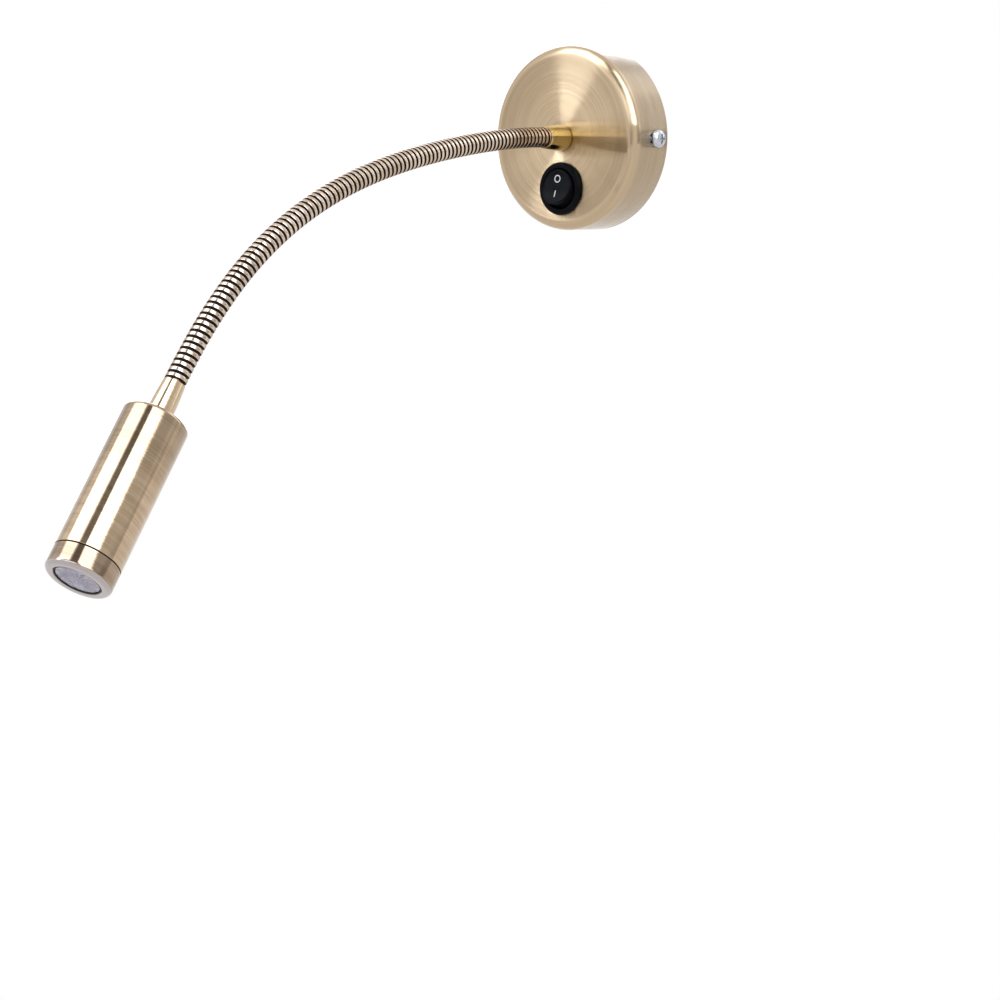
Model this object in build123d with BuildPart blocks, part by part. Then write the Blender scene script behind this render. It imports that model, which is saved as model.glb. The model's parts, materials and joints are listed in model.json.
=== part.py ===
from build123d import *
from math import cos, radians, sin, sqrt, tan
import os

# Bedside wall reading lamp: a round brushed brass canopy with a rocker switch, a ribbed
# gooseneck and a small cylindrical LED head. Sizes are in millimetres. The origin is the
# centre of the canopy's back on the wall, the lamp stands out along -Y and +Z is up.

# canopy
canopy_radius = 40.0
canopy_depth = 23.0
canopy_wall = 1.2
canopy_edge = 4.2
canopy_inner_edge = 2.4
side_screw_out = 7.0
side_slot_length = 9.0
side_slot_width = 4.6
side_head_radius = 4.0
side_head_height = 2.6
side_thread_radius = 2.0
side_thread_length = 6.5
cross_width = 0.9
cross_length = 4.4
cross_depth = 1.5

# wall bracket inside the canopy
bracket_thickness = 1.5
bracket_width = 15.0
bracket_half_span = 37.6
ear_out = 13.0
wall_slot_spacing = 52.0
wall_slot_length = 12.0
wall_slot_width = 4.6
cable_hole_radius = 8.0
tab_drop = 20.0
tab_width = 13.0
tab_centre = 22.0
block_drop = 15.0
earth_drop = 14.0
earth_thread_radius = 2.0
block_thread_radius = 1.5

# switch
switch_drop = 22.0
flange_radius = 11.5
flange_height = 2.0
barrel_radius = 9.85
barrel_depth = 12.5
well_radius = 8.95
well_depth = 8.4
rocker_radius = 7.8
rocker_tilt = 14.0
rocker_pivot_depth = 1.5
rocker_rise = 4.4
rocker_hollow = 3.1
rocker_skirt = 3.2
rocker_wall = 1.6
rocker_trunnion_radius = 1.0
trunnion_reach = 9.2
blade_width = 4.8
blade_thickness = 0.8
blade_spacing = 8.0

# neck
neck_radius = 4.33
groove_radius = 3.6
rib_pitch = 2.55
rib_flank = 0.4
joint_gap = 0.62
joint_flank = 0.2
hose_sides = 12
root_ribs = 4
link_ribs = 8
tip_ribs = 4
ball_radius = 3.0
seat_radius = 3.16
bore_radius = 2.1
shank_length = 6.5
shank_radius = 3.55
cable_radius = 1.95
hinge_turns = (4.1, 2.7, 2.3, 2.6, 3.4, 4.6, 5.7, 6.6, 7.2, 6.9, 5.8, -1.0)
head_side_turn = 5.8

# ferrules at the two ends of the neck
base_ferrule_length = 12.5
head_ferrule_length = 16.5
socket_radius = 3.65
socket_depth = 7.0
nipple_bore = 2.4
nipple_reach = 13.5
base_thread_radius = 5.0
base_foot_radius = 5.2
base_belly_radius = 5.65
base_waist_radius = 5.4
base_mouth_radius = 4.7
head_nipple_reach = 9.0
head_thread_radius = 4.0
head_foot_radius = 4.8
head_belly_radius = 5.15
head_waist_radius = 4.95
head_mouth_radius = 4.5
mouth_bevel = 0.3

# head
head_radius = 13.3
head_length = 72.0
head_edge = 2.0
housing_wall = 1.7
bezel_start = 63.0
bezel_groove = 0.5
spigot_radius = 12.3
lens_opening = 10.0

# fits between threads and between turned pieces
thread_play = 0.03
slip_play = 0.05

os.makedirs("parts", exist_ok=True)


def finish(built, label):
    """Name a finished piece and write its STEP file."""
    built.part.label = label
    export_step(built.part, f"parts/{label}.step")
    volume = sum(solid.volume for solid in built.part.solids())
    print(f"{label}: {len(built.part.solids())} solid(s), {volume:.0f} mm3")


# Seen from the room: X to the right, Z up, height measured out from the wall.
wall = Plane(origin=(0, 0, 0), x_dir=(1, 0, 0), z_dir=(0, -1, 0))
# Turning profile for the base: X is the radius, Y is the distance out from the wall.
base_profile = Plane(origin=(0, 0, 0), x_dir=(1, 0, 0), z_dir=(0, 0, -1))
base_axis = Axis((0, 0, 0), (0, -1, 0))
inner_face = canopy_depth - canopy_wall


# ---- canopy: a drawn brass cup, open at the wall ----
with BuildPart() as canopy:
    with BuildSketch(wall):
        Circle(canopy_radius)
    extrude(amount=canopy_depth)
    fillet(canopy.edges().group_by(Axis.Y)[0], radius=canopy_edge)
    with BuildSketch(wall):
        Circle(canopy_radius - canopy_wall)
    extrude(amount=inner_face - canopy_inner_edge, mode=Mode.SUBTRACT)
    with BuildSketch(wall.offset(inner_face - canopy_inner_edge)):
        Circle(canopy_radius - canopy_wall)
    extrude(amount=canopy_inner_edge, taper=45, mode=Mode.SUBTRACT)
    with BuildSketch(wall.offset(inner_face - 1)):
        Circle(base_thread_radius + 0.1)
        with Locations((0, -switch_drop)):
            Circle(barrel_radius + 0.15)
    extrude(amount=canopy_wall + 2, mode=Mode.SUBTRACT)
    with BuildSketch(Plane.YZ.offset(-canopy_radius - 1)):
        with Locations((-side_screw_out, 0)):
            SlotOverall(side_slot_length, side_slot_width)
    extrude(amount=2 * canopy_radius + 2, mode=Mode.SUBTRACT)
finish(canopy, "canopy")

# ---- wall bracket: a strip with two bent ears and two tabs ----
ear_inner = bracket_half_span - bracket_thickness
with BuildPart() as wall_bracket:
    with BuildSketch(Plane.XY.offset(-bracket_width / 2)):
        with BuildLine():
            Polyline(
                (-bracket_half_span, -ear_out),
                (-bracket_half_span, 0),
                (bracket_half_span, 0),
                (bracket_half_span, -ear_out),
                (ear_inner, -ear_out),
                (ear_inner, -bracket_thickness),
                (-ear_inner, -bracket_thickness),
                (-ear_inner, -ear_out),
                close=True,
            )
        make_face()
    extrude(amount=bracket_width)
    bends = wall_bracket.edges().filter_by(Axis.Z)
    fillet(bends.group_by(Axis.Y)[-1], radius=2.2)
    bends = wall_bracket.edges().filter_by(Axis.Z)
    fillet(bends.filter_by_position(Axis.Y, -bracket_thickness - 0.1, -bracket_thickness + 0.1), radius=0.8)
    ear_corners = wall_bracket.edges().filter_by(Axis.X).group_by(Axis.Y)[0]
    fillet(ear_corners, radius=3)
    with BuildSketch(wall):
        for side in (-1, 1):
            with Locations((side * tab_centre, -tab_drop / 2)):
                Rectangle(tab_width, tab_drop)
        Circle(cable_hole_radius + 4)
    extrude(amount=bracket_thickness)
    tab_corners = wall_bracket.edges().filter_by(Axis.Y).group_by(Axis.Z)[0]
    fillet(tab_corners, radius=2.5)
    with BuildSketch(wall):
        Circle(cable_hole_radius)
        with Locations((-wall_slot_spacing / 2, 0), (wall_slot_spacing / 2, 0)):
            SlotOverall(wall_slot_length, wall_slot_width)
        with Locations((-tab_centre, -block_drop)):
            Circle(block_thread_radius + thread_play)
        with Locations((tab_centre, -earth_drop)):
            Circle(earth_thread_radius + thread_play)
    extrude(amount=bracket_thickness, mode=Mode.SUBTRACT)
    with BuildSketch(Plane.YZ.offset(-canopy_radius)):
        with Locations((-side_screw_out, 0)):
            Circle(side_thread_radius + thread_play)
    extrude(amount=2 * canopy_radius, mode=Mode.SUBTRACT)
finish(wall_bracket, "wall_bracket")

# ---- the two pan head screws that hold the canopy to the ears ----
with BuildPart() as side_screws:
    for side in (-1, 1):
        seat = (side * canopy_radius, -side_screw_out, 0)
        outward = Plane(origin=seat, x_dir=(0, 0, 1), z_dir=(side, 0, 0))
        with BuildSketch(outward):
            Circle(side_head_radius)
        extrude(amount=side_head_height, taper=14)
        with BuildSketch(outward):
            Circle(side_thread_radius)
        extrude(amount=-side_thread_length)
        with BuildSketch(outward.offset(side_head_height - cross_depth)):
            Rectangle(cross_width, cross_length)
            Rectangle(cross_length, cross_width)
        extrude(amount=2 * cross_depth, mode=Mode.SUBTRACT)
finish(side_screws, "side_screws")

# ---- ferrule at the canopy: flared sleeve outside, threaded nipple inside ----
neck_start = canopy_depth + base_ferrule_length
with BuildPart() as base_ferrule:
    with BuildSketch(base_profile):
        with BuildLine():
            Polyline(
                (nipple_bore, canopy_depth - nipple_reach),
                (base_thread_radius, canopy_depth - nipple_reach),
                (base_thread_radius, canopy_depth),
                (base_foot_radius, canopy_depth),
                (base_belly_radius, canopy_depth + 1.1),
            )
            ThreePointArc(
                (base_belly_radius, canopy_depth + 1.1),
                (base_waist_radius, canopy_depth + 6.5),
                (base_mouth_radius, neck_start - mouth_bevel),
            )
            Polyline(
                (base_mouth_radius, neck_start - mouth_bevel),
                (base_mouth_radius - mouth_bevel, neck_start),
                (socket_radius, neck_start),
                (socket_radius, neck_start - socket_depth),
                (nipple_bore, neck_start - socket_depth),
                (nipple_bore, canopy_depth - nipple_reach),
            )
        make_face()
    revolve(axis=base_axis)
finish(base_ferrule, "base_ferrule")

# ---- hex nut and toothed washer behind the canopy's face ----
washer_thickness = 1.0
washer_radius = 8.4
with BuildPart() as lock_washer:
    with BuildSketch(wall.offset(inner_face - washer_thickness)):
        Circle(washer_radius)
        Circle(base_thread_radius + slip_play, mode=Mode.SUBTRACT)
        with PolarLocations(washer_radius, 12):
            Rectangle(1.6, 1.4, mode=Mode.SUBTRACT)
    extrude(amount=washer_thickness)
finish(lock_washer, "lock_washer")

nut_thickness = 3.0
with BuildPart() as neck_nut:
    with BuildSketch(wall.offset(inner_face - washer_thickness - nut_thickness)):
        RegularPolygon(7.0, 6, major_radius=False)
        Circle(base_thread_radius + thread_play, mode=Mode.SUBTRACT)
    extrude(amount=nut_thickness)
finish(neck_nut, "neck_nut")

# ---- switch housing: flange, barrel with snap wings, and the well for the rocker ----
flange_top = canopy_depth + flange_height
pivot_out = flange_top - rocker_pivot_depth
with BuildPart() as switch_housing:
    with BuildSketch(wall.offset(canopy_depth)):
        with Locations((0, -switch_drop)):
            Circle(flange_radius)
    extrude(amount=flange_height)
    chamfer(switch_housing.edges().group_by(Axis.Y)[0], length=1.0)
    with BuildSketch(wall.offset(canopy_depth - barrel_depth)):
        with Locations((0, -switch_drop)):
            Circle(barrel_radius)
    extrude(amount=barrel_depth)
    with BuildSketch(wall.offset(flange_top - well_depth)):
        with Locations((0, -switch_drop)):
            Circle(well_radius)
    extrude(amount=well_depth, mode=Mode.SUBTRACT)
    trunnion_seat = trunnion_reach + 0.1
    with BuildSketch(Plane.YZ.offset(-trunnion_seat)):
        with Locations((-pivot_out, -switch_drop)):
            Circle(rocker_trunnion_radius + slip_play)
    extrude(amount=2 * trunnion_seat, mode=Mode.SUBTRACT)
    for side in (-1, 1):
        with BuildSketch(Plane.XY.offset(-switch_drop - 2.5)):
            with BuildLine():
                Polyline(
                    (side * (barrel_radius - 0.3), -inner_face + 0.1),
                    (side * (barrel_radius + 0.9), -inner_face + 0.1),
                    (side * (barrel_radius - 0.3), -inner_face + 5.5),
                    close=True,
                )
            make_face()
        extrude(amount=5.0)
finish(switch_housing, "switch_housing")

# ---- rocker: a round button with two sloping faces, at rest with its lower half out ----
tilt = radians(rocker_tilt)
rocker_face = Plane(
    origin=(0, -pivot_out, -switch_drop),
    x_dir=(1, 0, 0),
    z_dir=(0, -cos(tilt), sin(tilt)),
)
rocker_side = Plane(
    origin=(-rocker_radius - 1, -pivot_out, -switch_drop),
    x_dir=(0, sin(tilt), cos(tilt)),
    z_dir=(1, 0, 0),
)
arc_half = 9.0
with BuildPart() as switch_rocker:
    with BuildSketch(rocker_face.offset(-rocker_skirt)):
        Circle(rocker_radius)
    extrude(amount=rocker_skirt + rocker_rise)
    with BuildSketch(rocker_side):
        with BuildLine():
            Polyline(
                (-arc_half, rocker_rise),
                (-arc_half, rocker_rise + 2),
                (arc_half, rocker_rise + 2),
                (arc_half, rocker_rise),
            )
            ThreePointArc((arc_half, rocker_rise), (0, rocker_hollow), (-arc_half, rocker_rise))
        make_face()
    extrude(amount=2 * rocker_radius + 2, mode=Mode.SUBTRACT)
    top = switch_rocker.faces().filter_by(GeomType.CYLINDER).sort_by(Axis.Y)[0]
    chamfer(top.edges(), length=0.5)
    with BuildSketch(rocker_face.offset(-rocker_skirt)):
        Circle(rocker_radius - rocker_wall)
    extrude(amount=rocker_skirt + 0.5, mode=Mode.SUBTRACT)
    with BuildSketch(Plane.YZ.offset(-trunnion_reach)):
        with Locations((-pivot_out, -switch_drop)):
            Circle(rocker_trunnion_radius)
    extrude(amount=2 * trunnion_reach)
finish(switch_rocker, "switch_rocker")

# ---- two push-on blades at the back of the switch ----
blade_length = 7.0
barrel_back = canopy_depth - barrel_depth
with BuildPart() as switch_terminals:
    for side in (-1, 1):
        with BuildSketch(wall.offset(barrel_back - blade_length)):
            with Locations((0, -switch_drop + side * blade_spacing / 2)):
                Rectangle(blade_width, blade_thickness)
        extrude(amount=blade_length)
    blade_tips = switch_terminals.edges().filter_by(Axis.Z).group_by(Axis.Y)[-1]
    chamfer(blade_tips, length=0.9)
    with BuildSketch(Plane.XY.offset(-switch_drop - 6)):
        with Locations((0, -barrel_back + 4.0)):
            Circle(0.8)
    extrude(amount=12, mode=Mode.SUBTRACT)
finish(switch_terminals, "switch_terminals")

# ---- two-pole terminal block on the left tab of the bracket ----
block_width = 15.0
block_height = 10.0
block_depth = 11.0
pole_spacing = 7.5
block_centre = (-tab_centre, -block_drop)
block_back = bracket_thickness
block_front = block_back + block_depth
pole_out = block_back + 4.5
with BuildPart() as terminal_block:
    with BuildSketch(wall.offset(block_back)):
        with Locations(block_centre):
            RectangleRounded(block_width, block_height, 1.0)
    extrude(amount=block_depth)
    with BuildSketch(wall.offset(block_front - 2.0)):
        with Locations(block_centre):
            with GridLocations(pole_spacing, 0, 2, 1):
                Circle(2.3)
    extrude(amount=2.0, mode=Mode.SUBTRACT)
    with BuildSketch(wall.offset(block_front - 7.0)):
        with Locations(block_centre):
            with GridLocations(pole_spacing, 0, 2, 1):
                Circle(block_thread_radius + thread_play)
    extrude(amount=7.0, mode=Mode.SUBTRACT)
    with BuildSketch(Plane.XY.offset(block_centre[1] - block_height / 2)):
        with Locations((block_centre[0], -pole_out)):
            with GridLocations(pole_spacing, 0, 2, 1):
                Circle(1.7)
    extrude(amount=block_height, mode=Mode.SUBTRACT)
finish(terminal_block, "terminal_block")

screw_foot = 6.3
with BuildPart() as terminal_screws:
    with BuildSketch(wall.offset(block_back + screw_foot)):
        with Locations(block_centre):
            with GridLocations(pole_spacing, 0, 2, 1):
                Circle(block_thread_radius)
    extrude(amount=block_depth - screw_foot - 0.8)
    with BuildSketch(wall.offset(block_front - 2.0)):
        with Locations(block_centre):
            with GridLocations(pole_spacing, 0, 2, 1):
                Rectangle(3.2, 0.6)
    extrude(amount=1.5, mode=Mode.SUBTRACT)
finish(terminal_screws, "terminal_screws")

# ---- earth screw with its ring tag on the right tab ----
earth_centre = (tab_centre, -earth_drop)
tag_thickness = 0.8
with BuildPart() as earth_tag:
    with BuildSketch(wall.offset(bracket_thickness)):
        with Locations(earth_centre):
            Circle(4.0)
            with Locations((-5.0, 0)):
                Rectangle(6.0, 3.2)
            Circle(earth_thread_radius + slip_play, mode=Mode.SUBTRACT)
    extrude(amount=tag_thickness)
    barrel_end = Plane(
        origin=(earth_centre[0] - 5.0, -bracket_thickness - 1.5, earth_centre[1]),
        x_dir=(0, 0, 1),
        z_dir=(-1, 0, 0),
    )
    with BuildSketch(barrel_end):
        Circle(1.5)
        Circle(0.9, mode=Mode.SUBTRACT)
    extrude(amount=3.0)
finish(earth_tag, "earth_tag")

with BuildPart() as earth_screw:
    screw_seat = bracket_thickness + tag_thickness
    with BuildSketch(wall.offset(0.3)):
        with Locations(earth_centre):
            Circle(earth_thread_radius)
    extrude(amount=screw_seat)
    with BuildSketch(wall.offset(screw_seat)):
        with Locations(earth_centre):
            Circle(3.6)
    extrude(amount=2.2, taper=10)
    with BuildSketch(wall.offset(screw_seat + 1.0)):
        with Locations(earth_centre):
            Rectangle(cross_width, 4.2)
            Rectangle(4.2, cross_width)
    extrude(amount=2.0, mode=Mode.SUBTRACT)
finish(earth_screw, "earth_screw")

# ---- LED driver on a foam pad, stuck inside the canopy's face above the neck ----
driver_centre = (0, 20.5)
driver_width = 34.0
driver_height = 20.0
driver_depth = 12.5
pad_thickness = 1.0
driver_front = inner_face - pad_thickness
with BuildPart() as driver_pad:
    with BuildSketch(wall.offset(driver_front)):
        with Locations(driver_centre):
            Rectangle(driver_width - 4, driver_height - 4)
    extrude(amount=pad_thickness)
finish(driver_pad, "driver_pad")

with BuildPart() as led_driver:
    with BuildSketch(wall.offset(driver_front - driver_depth)):
        with Locations(driver_centre):
            Rectangle(driver_width, driver_height)
    extrude(amount=driver_depth)
    fillet(led_driver.edges().filter_by(Axis.Y), radius=2.0)
    chamfer(led_driver.edges().group_by(Axis.Y)[-1], length=0.8)
finish(led_driver, "led_driver")

# ---- insulated leads held inside the canopy ----
lead_radius = 0.9
lead_sides = 6
pole_top = block_centre[1] + block_height / 2
pole_left = block_centre[0] - pole_spacing / 2
pole_right = block_centre[0] + pole_spacing / 2
blade_out = barrel_back - blade_length + 2.5
driver_back = driver_front - driver_depth
lead_entry = 17.0
neutral_route = [
    (pole_right, -pole_out, pole_top - 4.0),
    (pole_right, -pole_out, pole_top + 5.0),
    (-15.0, -5.4, 5.0),
    (-12.0, -driver_back + 4.0, lead_entry),
    (-12.0, -driver_back, lead_entry),
]
supply_route = [
    (pole_left, -pole_out, pole_top - 4.0),
    (pole_left, -pole_out, pole_top + 4.0),
    (-19.0, -9.6, -1.0),
    (-9.0, -8.2, -3.5),
    (0.0, -blade_out, -10.5),
    (0.0, -blade_out, -switch_drop + 4.4),
]
switched_route = [
    (0.0, -blade_out, -switch_drop - 4.4),
    (0.0, -blade_out, -switch_drop - 8.5),
    (5.5, -6.4, -34.0),
    (13.2, -7.0, -28.5),
    (13.6, -7.6, -15.0),
    (13.4, -7.0, -2.0),
    (12.0, -driver_back + 4.0, lead_entry - 7.0),
    (11.0, -driver_back + 4.0, lead_entry),
    (11.0, -driver_back, lead_entry),
]


def bend_radii(points, share=0.45):
    """The largest arc that each corner's two runs leave room for."""
    radii = []
    for before, corner, after in zip(points, points[1:], points[2:]):
        run_in = Vector(*corner) - Vector(*before)
        run_out = Vector(*after) - Vector(*corner)
        half_turn = radians(run_in.get_angle(run_out) / 2)
        shorter = min(run_in.length, run_out.length)
        radii.append(share * shorter / tan(half_turn))
    return radii


for lead_name, route in (
    ("neutral_lead", neutral_route),
    ("supply_lead", supply_route),
    ("switched_lead", switched_route),
):
    with BuildPart() as lead:
        with BuildLine() as centre_line:
            FilletPolyline(*route, radius=bend_radii(route))
        path = centre_line.wires()[0]
        with BuildSketch(Plane(origin=path @ 0, z_dir=path % 0)):
            RegularPolygon(lead_radius, lead_sides)
        sweep(path=path)
    finish(lead, lead_name)

# ---- gooseneck: ribbed links on ball seats, bent to the pose of the photograph ----
link_length = link_ribs * rib_pitch


def heading(drop, side=0):
    """The way the neck runs, by how far it has dropped and turned to the side, in degrees."""
    level = cos(radians(side))
    return Vector(sin(radians(side)), -level * cos(radians(drop)), -level * sin(radians(drop)))


def across_line(drop, side=0):
    """The level direction that stays square to that heading."""
    tilt = sin(radians(side))
    return Vector(cos(radians(side)), tilt * cos(radians(drop)), tilt * sin(radians(drop)))


def across(origin, drop, side=0):
    """A plane square to the neck."""
    return Plane(origin=origin, x_dir=across_line(drop, side), z_dir=heading(drop, side))


def rib_sections(count, joint_at_start, joint_at_end):
    """Distances and radii of the rings that the ribs are drawn through."""
    rings = []
    for rib in range(count):
        start = rib * rib_pitch
        end = start + rib_pitch
        if rib == 0 and joint_at_start:
            rings += [(joint_gap, groove_radius), (joint_gap + joint_flank, neck_radius)]
        else:
            rings += [(start, groove_radius), (start + rib_flank, neck_radius)]
        if rib == count - 1 and joint_at_end:
            rings += [(end - joint_gap - joint_flank, neck_radius), (end - joint_gap, groove_radius)]
        else:
            rings.append((end - rib_flank, neck_radius))
    if not joint_at_end:
        rings.append((count * rib_pitch, groove_radius))
    return rings


# Rings of the ball nose, measured from the pivot at its centre, and of the seat round it.
ball_rings = [(-0.9, 2.86), (0.0, ball_radius), (1.0, 2.83), (1.9, 2.32)]
seat_rings = [(-0.2, seat_radius), (1.4, 2.9), (2.4, bore_radius)]
ball_reach = ball_rings[-1][0]
cable_start = 2.9

neck_angles = [0.0]
for turn in hinge_turns:
    neck_angles.append(neck_angles[-1] + turn)
pivots = [Vector(0, -neck_start - root_ribs * rib_pitch, 0)]
for angle in neck_angles[1:-1]:
    pivots.append(pivots[-1] + heading(angle) * link_length)
head_angle = neck_angles[-1]
head_heading = heading(head_angle, head_side_turn)
neck_end = pivots[-1] + head_heading * (tip_ribs * rib_pitch)

# The fixed root: a shank in the ferrule, four ribs and the first ball.
root_length = root_ribs * rib_pitch
root = across((0, -neck_start, 0), 0)
with BuildPart() as neck_root:
    for distance, radius in [(-shank_length, groove_radius)] + rib_sections(root_ribs, False, True):
        with BuildSketch(root.offset(distance)):
            RegularPolygon(radius, hose_sides)
    loft(ruled=True)
    for distance, radius in ball_rings:
        with BuildSketch(root.offset(root_length + distance)):
            RegularPolygon(radius, hose_sides)
    loft(ruled=True)
    with BuildSketch(root.offset(-shank_length - 1)):
        RegularPolygon(bore_radius, hose_sides)
    extrude(amount=shank_length + root_length + 5, mode=Mode.SUBTRACT)
finish(neck_root, "neck_root")

# The moving links, each with a seat at its near end and a ball at its far end.
for number, (pivot, angle) in enumerate(zip(pivots[:-1], neck_angles[1:-1]), start=1):
    square = across(pivot, angle)
    with BuildPart() as neck_link:
        for distance, radius in rib_sections(link_ribs, True, True):
            with BuildSketch(square.offset(distance)):
                RegularPolygon(radius, hose_sides)
        loft(ruled=True)
        for distance, radius in ball_rings:
            with BuildSketch(square.offset(link_length + distance)):
                RegularPolygon(radius, hose_sides)
        loft(ruled=True)
        for distance, radius in seat_rings:
            with BuildSketch(square.offset(distance)):
                RegularPolygon(radius, hose_sides)
        loft(ruled=True, mode=Mode.SUBTRACT)
        with BuildSketch(square.offset(-1)):
            RegularPolygon(bore_radius, hose_sides)
        extrude(amount=link_length + 5, mode=Mode.SUBTRACT)
    finish(neck_link, f"neck_link_{number:02d}")
    with BuildPart() as neck_cable:
        with BuildSketch(square.offset(cable_start)):
            RegularPolygon(cable_radius, hose_sides)
        extrude(amount=link_length + ball_reach - cable_start)
    finish(neck_cable, f"neck_cable_{number:02d}")

# The tip, fixed to the head: the last seat, three ribs and a shank in the ferrule.
tip_length = tip_ribs * rib_pitch
tip = across(pivots[-1], head_angle, head_side_turn)
with BuildPart() as neck_tip:
    tip_rings = rib_sections(tip_ribs, True, False)
    for distance, radius in tip_rings + [(tip_length + shank_length, groove_radius)]:
        with BuildSketch(tip.offset(distance)):
            RegularPolygon(radius, hose_sides)
    loft(ruled=True)
    for distance, radius in seat_rings:
        with BuildSketch(tip.offset(distance)):
            RegularPolygon(radius, hose_sides)
    loft(ruled=True, mode=Mode.SUBTRACT)
    with BuildSketch(tip.offset(-1)):
        RegularPolygon(bore_radius, hose_sides)
    extrude(amount=tip_length + shank_length + 3, mode=Mode.SUBTRACT)
finish(neck_tip, "neck_tip")

# The cable in the base: out of the driver, through the nipple and into the root.
cable_turn_out = 4.4
base_cable_route = [
    (0, pivots[0].Y - ball_reach, 0),
    (0, -cable_turn_out, 0),
    (0, -cable_turn_out, lead_entry + 4.5),
    (0, -driver_back, lead_entry + 4.5),
]
with BuildPart() as base_cable:
    with BuildLine() as centre_line:
        FilletPolyline(*base_cable_route, radius=[6.0, 3.6])
    path = centre_line.wires()[0]
    with BuildSketch(Plane(origin=path @ 0, x_dir=(1, 0, 0), z_dir=path % 0)):
        RegularPolygon(cable_radius, hose_sides)
    sweep(path=path)
finish(base_cable, "base_cable")

# ---- head, turned about the neck's last heading ----
head_start = neck_end + head_heading * head_ferrule_length
head = across(head_start, head_angle, head_side_turn)
head_axis = Axis(head_start, head_heading)
# Turning profile for the head: X is the radius, Y is the distance from the head's top.
head_profile = Plane(
    origin=head_start,
    x_dir=head.x_dir,
    z_dir=head.x_dir.cross(head_heading),
)
housing_bore = head_radius - housing_wall
top_thickness = 1.6

with BuildPart() as head_ferrule:
    with BuildSketch(head_profile):
        with BuildLine():
            Polyline(
                (nipple_bore, head_nipple_reach),
                (head_thread_radius, head_nipple_reach),
                (head_thread_radius, 0),
                (head_foot_radius, 0),
                (head_belly_radius, -0.9),
            )
            ThreePointArc(
                (head_belly_radius, -0.9),
                (head_waist_radius, -head_ferrule_length / 2),
                (head_mouth_radius, mouth_bevel - head_ferrule_length),
            )
            Polyline(
                (head_mouth_radius, mouth_bevel - head_ferrule_length),
                (head_mouth_radius - mouth_bevel, -head_ferrule_length),
                (socket_radius, -head_ferrule_length),
                (socket_radius, socket_depth - head_ferrule_length),
                (nipple_bore, socket_depth - head_ferrule_length),
                (nipple_bore, head_nipple_reach),
            )
        make_face()
    revolve(axis=head_axis)
finish(head_ferrule, "head_ferrule")

# Closed at the top, open at the bottom, with a thinner spigot for the bezel.
spigot_end = 66.6
with BuildPart() as head_housing:
    with BuildSketch(head_profile):
        Rectangle(head_radius, bezel_start - bezel_groove, align=(Align.MIN, Align.MIN))
        with Locations((0, bezel_start - bezel_groove)):
            Rectangle(spigot_radius, spigot_end - bezel_start + bezel_groove, align=(Align.MIN, Align.MIN))
    revolve(axis=head_axis)
    shoulder = head_housing.faces().sort_by(head_axis)[0]
    fillet(shoulder.edges(), radius=head_edge)
    with BuildSketch(head.offset(top_thickness)):
        Circle(housing_bore)
    extrude(amount=spigot_end, mode=Mode.SUBTRACT)
    with BuildSketch(head.offset(-1)):
        Circle(head_thread_radius + thread_play)
    extrude(amount=4, mode=Mode.SUBTRACT)
finish(head_housing, "head_housing")

with BuildPart() as head_washer:
    with BuildSketch(head.offset(top_thickness)):
        Circle(7.0)
        Circle(head_thread_radius + slip_play, mode=Mode.SUBTRACT)
    extrude(amount=0.8)
finish(head_washer, "head_washer")

with BuildPart() as head_nut:
    with BuildSketch(head.offset(top_thickness + 0.8)):
        RegularPolygon(6.0, 6, major_radius=False)
        Circle(head_thread_radius + thread_play, mode=Mode.SUBTRACT)
    extrude(amount=2.5)
finish(head_nut, "head_nut")

# A finned aluminium slug that carries the LED board.
sink_start = 34.0
board_seat = 52.0
board_screw_side = 7.4
with BuildPart() as heat_sink:
    with BuildSketch(head.offset(sink_start)):
        Circle(housing_bore - slip_play)
        Circle(nipple_bore, mode=Mode.SUBTRACT)
    extrude(amount=board_seat - sink_start)
    with BuildSketch(head.offset(sink_start)):
        with PolarLocations(housing_bore - 2.4, 16):
            Rectangle(4.4, 1.8)
    extrude(amount=board_seat - sink_start - 4, mode=Mode.SUBTRACT)
    with BuildSketch(head.offset(board_seat - 4)):
        with Locations((0, board_screw_side), (0, -board_screw_side)):
            Circle(1.0 + thread_play)
    extrude(amount=4, mode=Mode.SUBTRACT)
finish(heat_sink, "heat_sink")

board_thickness = 1.6
board_face = board_seat + board_thickness
with BuildPart() as led_board:
    with BuildSketch(head.offset(board_seat)):
        Circle(10.0)
        with Locations((0, board_screw_side), (0, -board_screw_side)):
            Circle(1.1, mode=Mode.SUBTRACT)
        with Locations((7.2, 0), (-7.2, 0)):
            Rectangle(1.6, 2.4, mode=Mode.SUBTRACT)
    extrude(amount=board_thickness)
finish(led_board, "led_board")

with BuildPart() as board_screws:
    for side in (-1, 1):
        with BuildSketch(head.offset(board_seat - 3.5)):
            with Locations((0, side * board_screw_side)):
                Circle(1.0)
        extrude(amount=board_face - board_seat + 3.5)
        with BuildSketch(head.offset(board_face)):
            with Locations((0, side * board_screw_side)):
                Circle(1.9)
        extrude(amount=1.2)
finish(board_screws, "board_screws")

with BuildPart() as led_emitter:
    with BuildSketch(head.offset(board_face)):
        Rectangle(3.5, 3.5)
    extrude(amount=0.8)
    with BuildSketch(head_profile):
        with BuildLine():
            Line((0, board_face + 0.8), (1.4, board_face + 0.8))
            RadiusArc((1.4, board_face + 0.8), (0, board_face + 2.2), -1.4)
            Line((0, board_face + 2.2), (0, board_face + 0.8))
        make_face()
    revolve(axis=head_axis)
finish(led_emitter, "led_emitter")

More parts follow.
